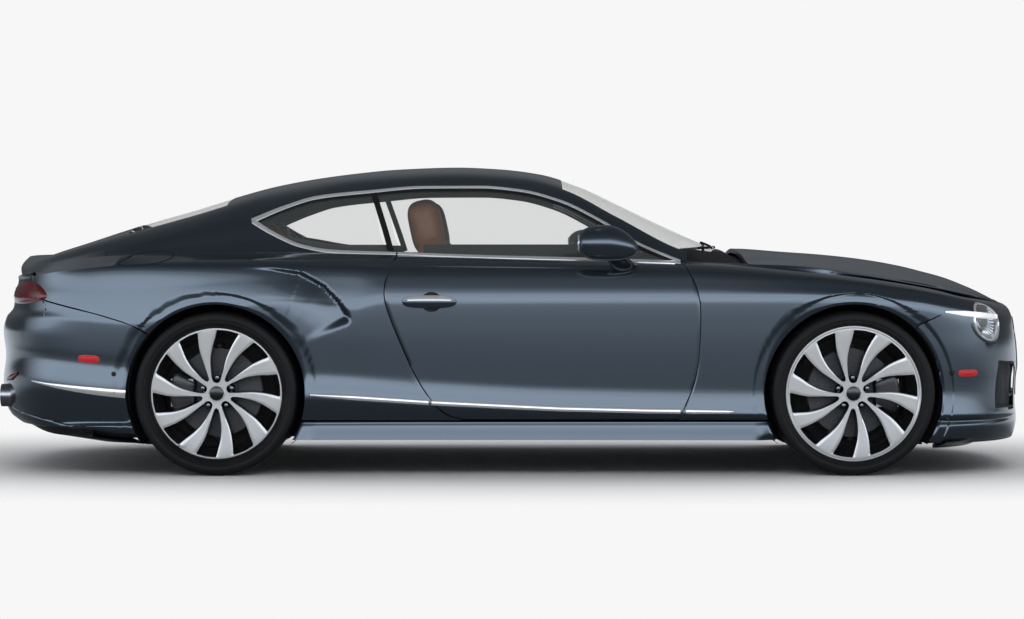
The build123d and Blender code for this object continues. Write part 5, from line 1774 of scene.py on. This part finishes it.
floor_mat, tree, bsdf = new_material("floor")
feed(tree, bsdf, {"Base Color": (.86, .86, .86, 1), "Roughness": .9, "Specular IOR Level": .1})
glow = node(tree, "Emission", {"Color": BACKDROP})
shape = node(tree, "Mapping", {"Scale": (1 / 2.55, 1 / 1.15, 1), "Vector": where(tree)})
reach = node(tree, "VectorMath", {0: shape.outputs["Vector"]}, operation="LENGTH").outputs["Value"]
ramp = node(tree, "MapRange", {"From Min": .92, "From Max": 2.1, "Value": reach},
            interpolation_type="SMOOTHSTEP")
blend = node(tree, "MixShader", {0: ramp.outputs[0], 1: bsdf.outputs[0], 2: glow.outputs[0]})
feed(tree, tree.nodes["Material Output"], {"Surface": blend.outputs[0]})
FLOOR = 40.0
floor_mesh = bpy.data.meshes.new("floor")
floor_mesh.from_pydata([(-FLOOR, -FLOOR, 0), (FLOOR, -FLOOR, 0), (FLOOR, FLOOR, 0), (-FLOOR, FLOOR, 0)],
                       [], [(0, 1, 2, 3)])
floor_mesh.materials.append(floor_mat)
floor = place_in_scene("floor", floor_mesh)
floor.visible_glossy = False
floor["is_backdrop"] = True


# %% Lamps
def lamp(name, at, aim, size, power):
    """A rectangular soft light at one point that faces another, and that no mirror shows."""
    data = bpy.data.lights.new(name, "AREA")
    data.shape = "RECTANGLE"
    data.size, data.size_y = size
    data.energy = power
    obj = place_in_scene(name, data)
    obj.location = at
    z = np.array(at, float) - np.array(aim, float)
    z = z / np.linalg.norm(z)
    x = np.cross((0, 1, 0) if abs(z[2]) > .9 else (0, 0, 1), z)
    x = x / np.linalg.norm(x)
    obj.rotation_euler = Matrix(np.stack([x, np.cross(z, x), z], 1).tolist()).to_euler()
    obj.visible_glossy = False


lamp("ceiling", (0, 1.0, 6.0), (0, 0, 0), (9.5, 3.0), 110)
lamp("front_strip", (0, -6.2, 3.9), (0, 0, .7), (9.0, 1.3), 105)
lamp("back_strip", (0, 6.0, 4.2), (0, 0, .8), (9.0, 1.6), 60)

# %% [markdown]
# ## Reflection tent
# Car photographers hang a tent round the car, grey where the paint shall look deep. Only mirrored rays
# see it: the light on the car and the view of the background don't change. Its tone rises from the floor
# to a pale belt on the camera's side, and is dark overhead and behind the car.

# %% Reflection tent
TENT_X, TENT_Y, TENT_Z = 9.5, 7.4, 7.0
GLOW = 2.5
e, a = np.linspace(.002 - math.pi / 2, math.pi / 2 - .002, 80)[:, None], turn(96)[None]
grid = xyz(TENT_X * np.cos(e) ** .5 * np.cos(a), TENT_Y * np.cos(e) ** .5 * np.sin(a), TENT_Z * np.sin(e))
tent_mesh = bpy.data.meshes.new("reflection_tent")
tent_mesh.from_pydata(grid.reshape(-1, 3).tolist(), [], grid_faces(80, 96, wrap_cols=True, flip=True))
tent = place_in_scene("reflection_tent", tent_mesh)
tent_mat, tree, bsdf = new_material("reflection_tent")
tree.nodes.remove(bsdf)
at = node(tree, "SeparateXYZ", {0: where(tree)}).outputs


def tone(stops):
    """Grey ramp over the tent's height, from a list of height in metres and share of GLOW. The first
    two stops are the ends."""
    share = node(tree, "MapRange", {"From Min": -TENT_Z, "From Max": TENT_Z, "Value": at["Z"]})
    ramp = node(tree, "ValToRGB", {0: share.outputs[0]})
    ramp.color_ramp.interpolation = "EASE"
    points = ramp.color_ramp.elements
    for k, (z, value) in enumerate(stops):
        stop = points[k] if k < 2 else points.new(.5 + .5 * z / TENT_Z)
        stop.color = (value * .90, value * .98, value * 1.08, 1)
    return ramp.outputs[0]


near_tone = tone([(-7.0, .03), (7.0, .03), (-1.2, .03), (-.25, .10), (.15, .14), (.55, .36), (1.0, .85),
                  (1.7, 1.0), (2.4, .90), (3.2, .42), (4.0, .12), (5.4, .05)])
far_tone = tone([(-7.0, .02), (7.0, .034), (-1.0, .05), (-.1, .26), (.45, .24), (.85, .03), (3.0, .05),
                 (5.0, .045)])
split = node(tree, "MapRange", {"From Min": 3.0, "From Max": -4.5, "Value": at["Y"]},
             interpolation_type="SMOOTHSTEP")
blend = node(tree, "Mix", {"Factor": split.outputs[0]}, data_type="RGBA")
feed(tree, blend, {6: far_tone, 7: near_tone})
glow = node(tree, "Emission", {"Color": blend.outputs[2], "Strength": GLOW})
feed(tree, tree.nodes["Material Output"], {"Surface": glow.outputs[0]})
tent_mesh.materials.append(tent_mat)
for kind in ("camera", "diffuse", "transmission", "volume_scatter", "shadow"):
    setattr(tent, "visible_" + kind, False)
tent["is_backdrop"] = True

# %% [markdown]
# ## Camera
# A long lens far to the right of the car keeps both wheels almost equal in size. The lens, height and
# downward tilt come from the wheel centres and the horizon.

# %% Camera
CAM_Y = -12.35
camera_data = bpy.data.cameras.new("camera")
camera_data.sensor_width = 36
camera_data.lens = 89.9
camera_data.clip_end = 200
camera = place_in_scene("camera", camera_data)
camera.location = (.007, CAM_Y, 1.0)
camera.rotation_euler = (math.radians(90 - 1.28), 0, 0)
scene.camera = camera

# %% [markdown]
# ## Sizes
# The box of the dressed car is measured over every shown object but the backdrop.

# %% Sizes and finish
low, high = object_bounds()
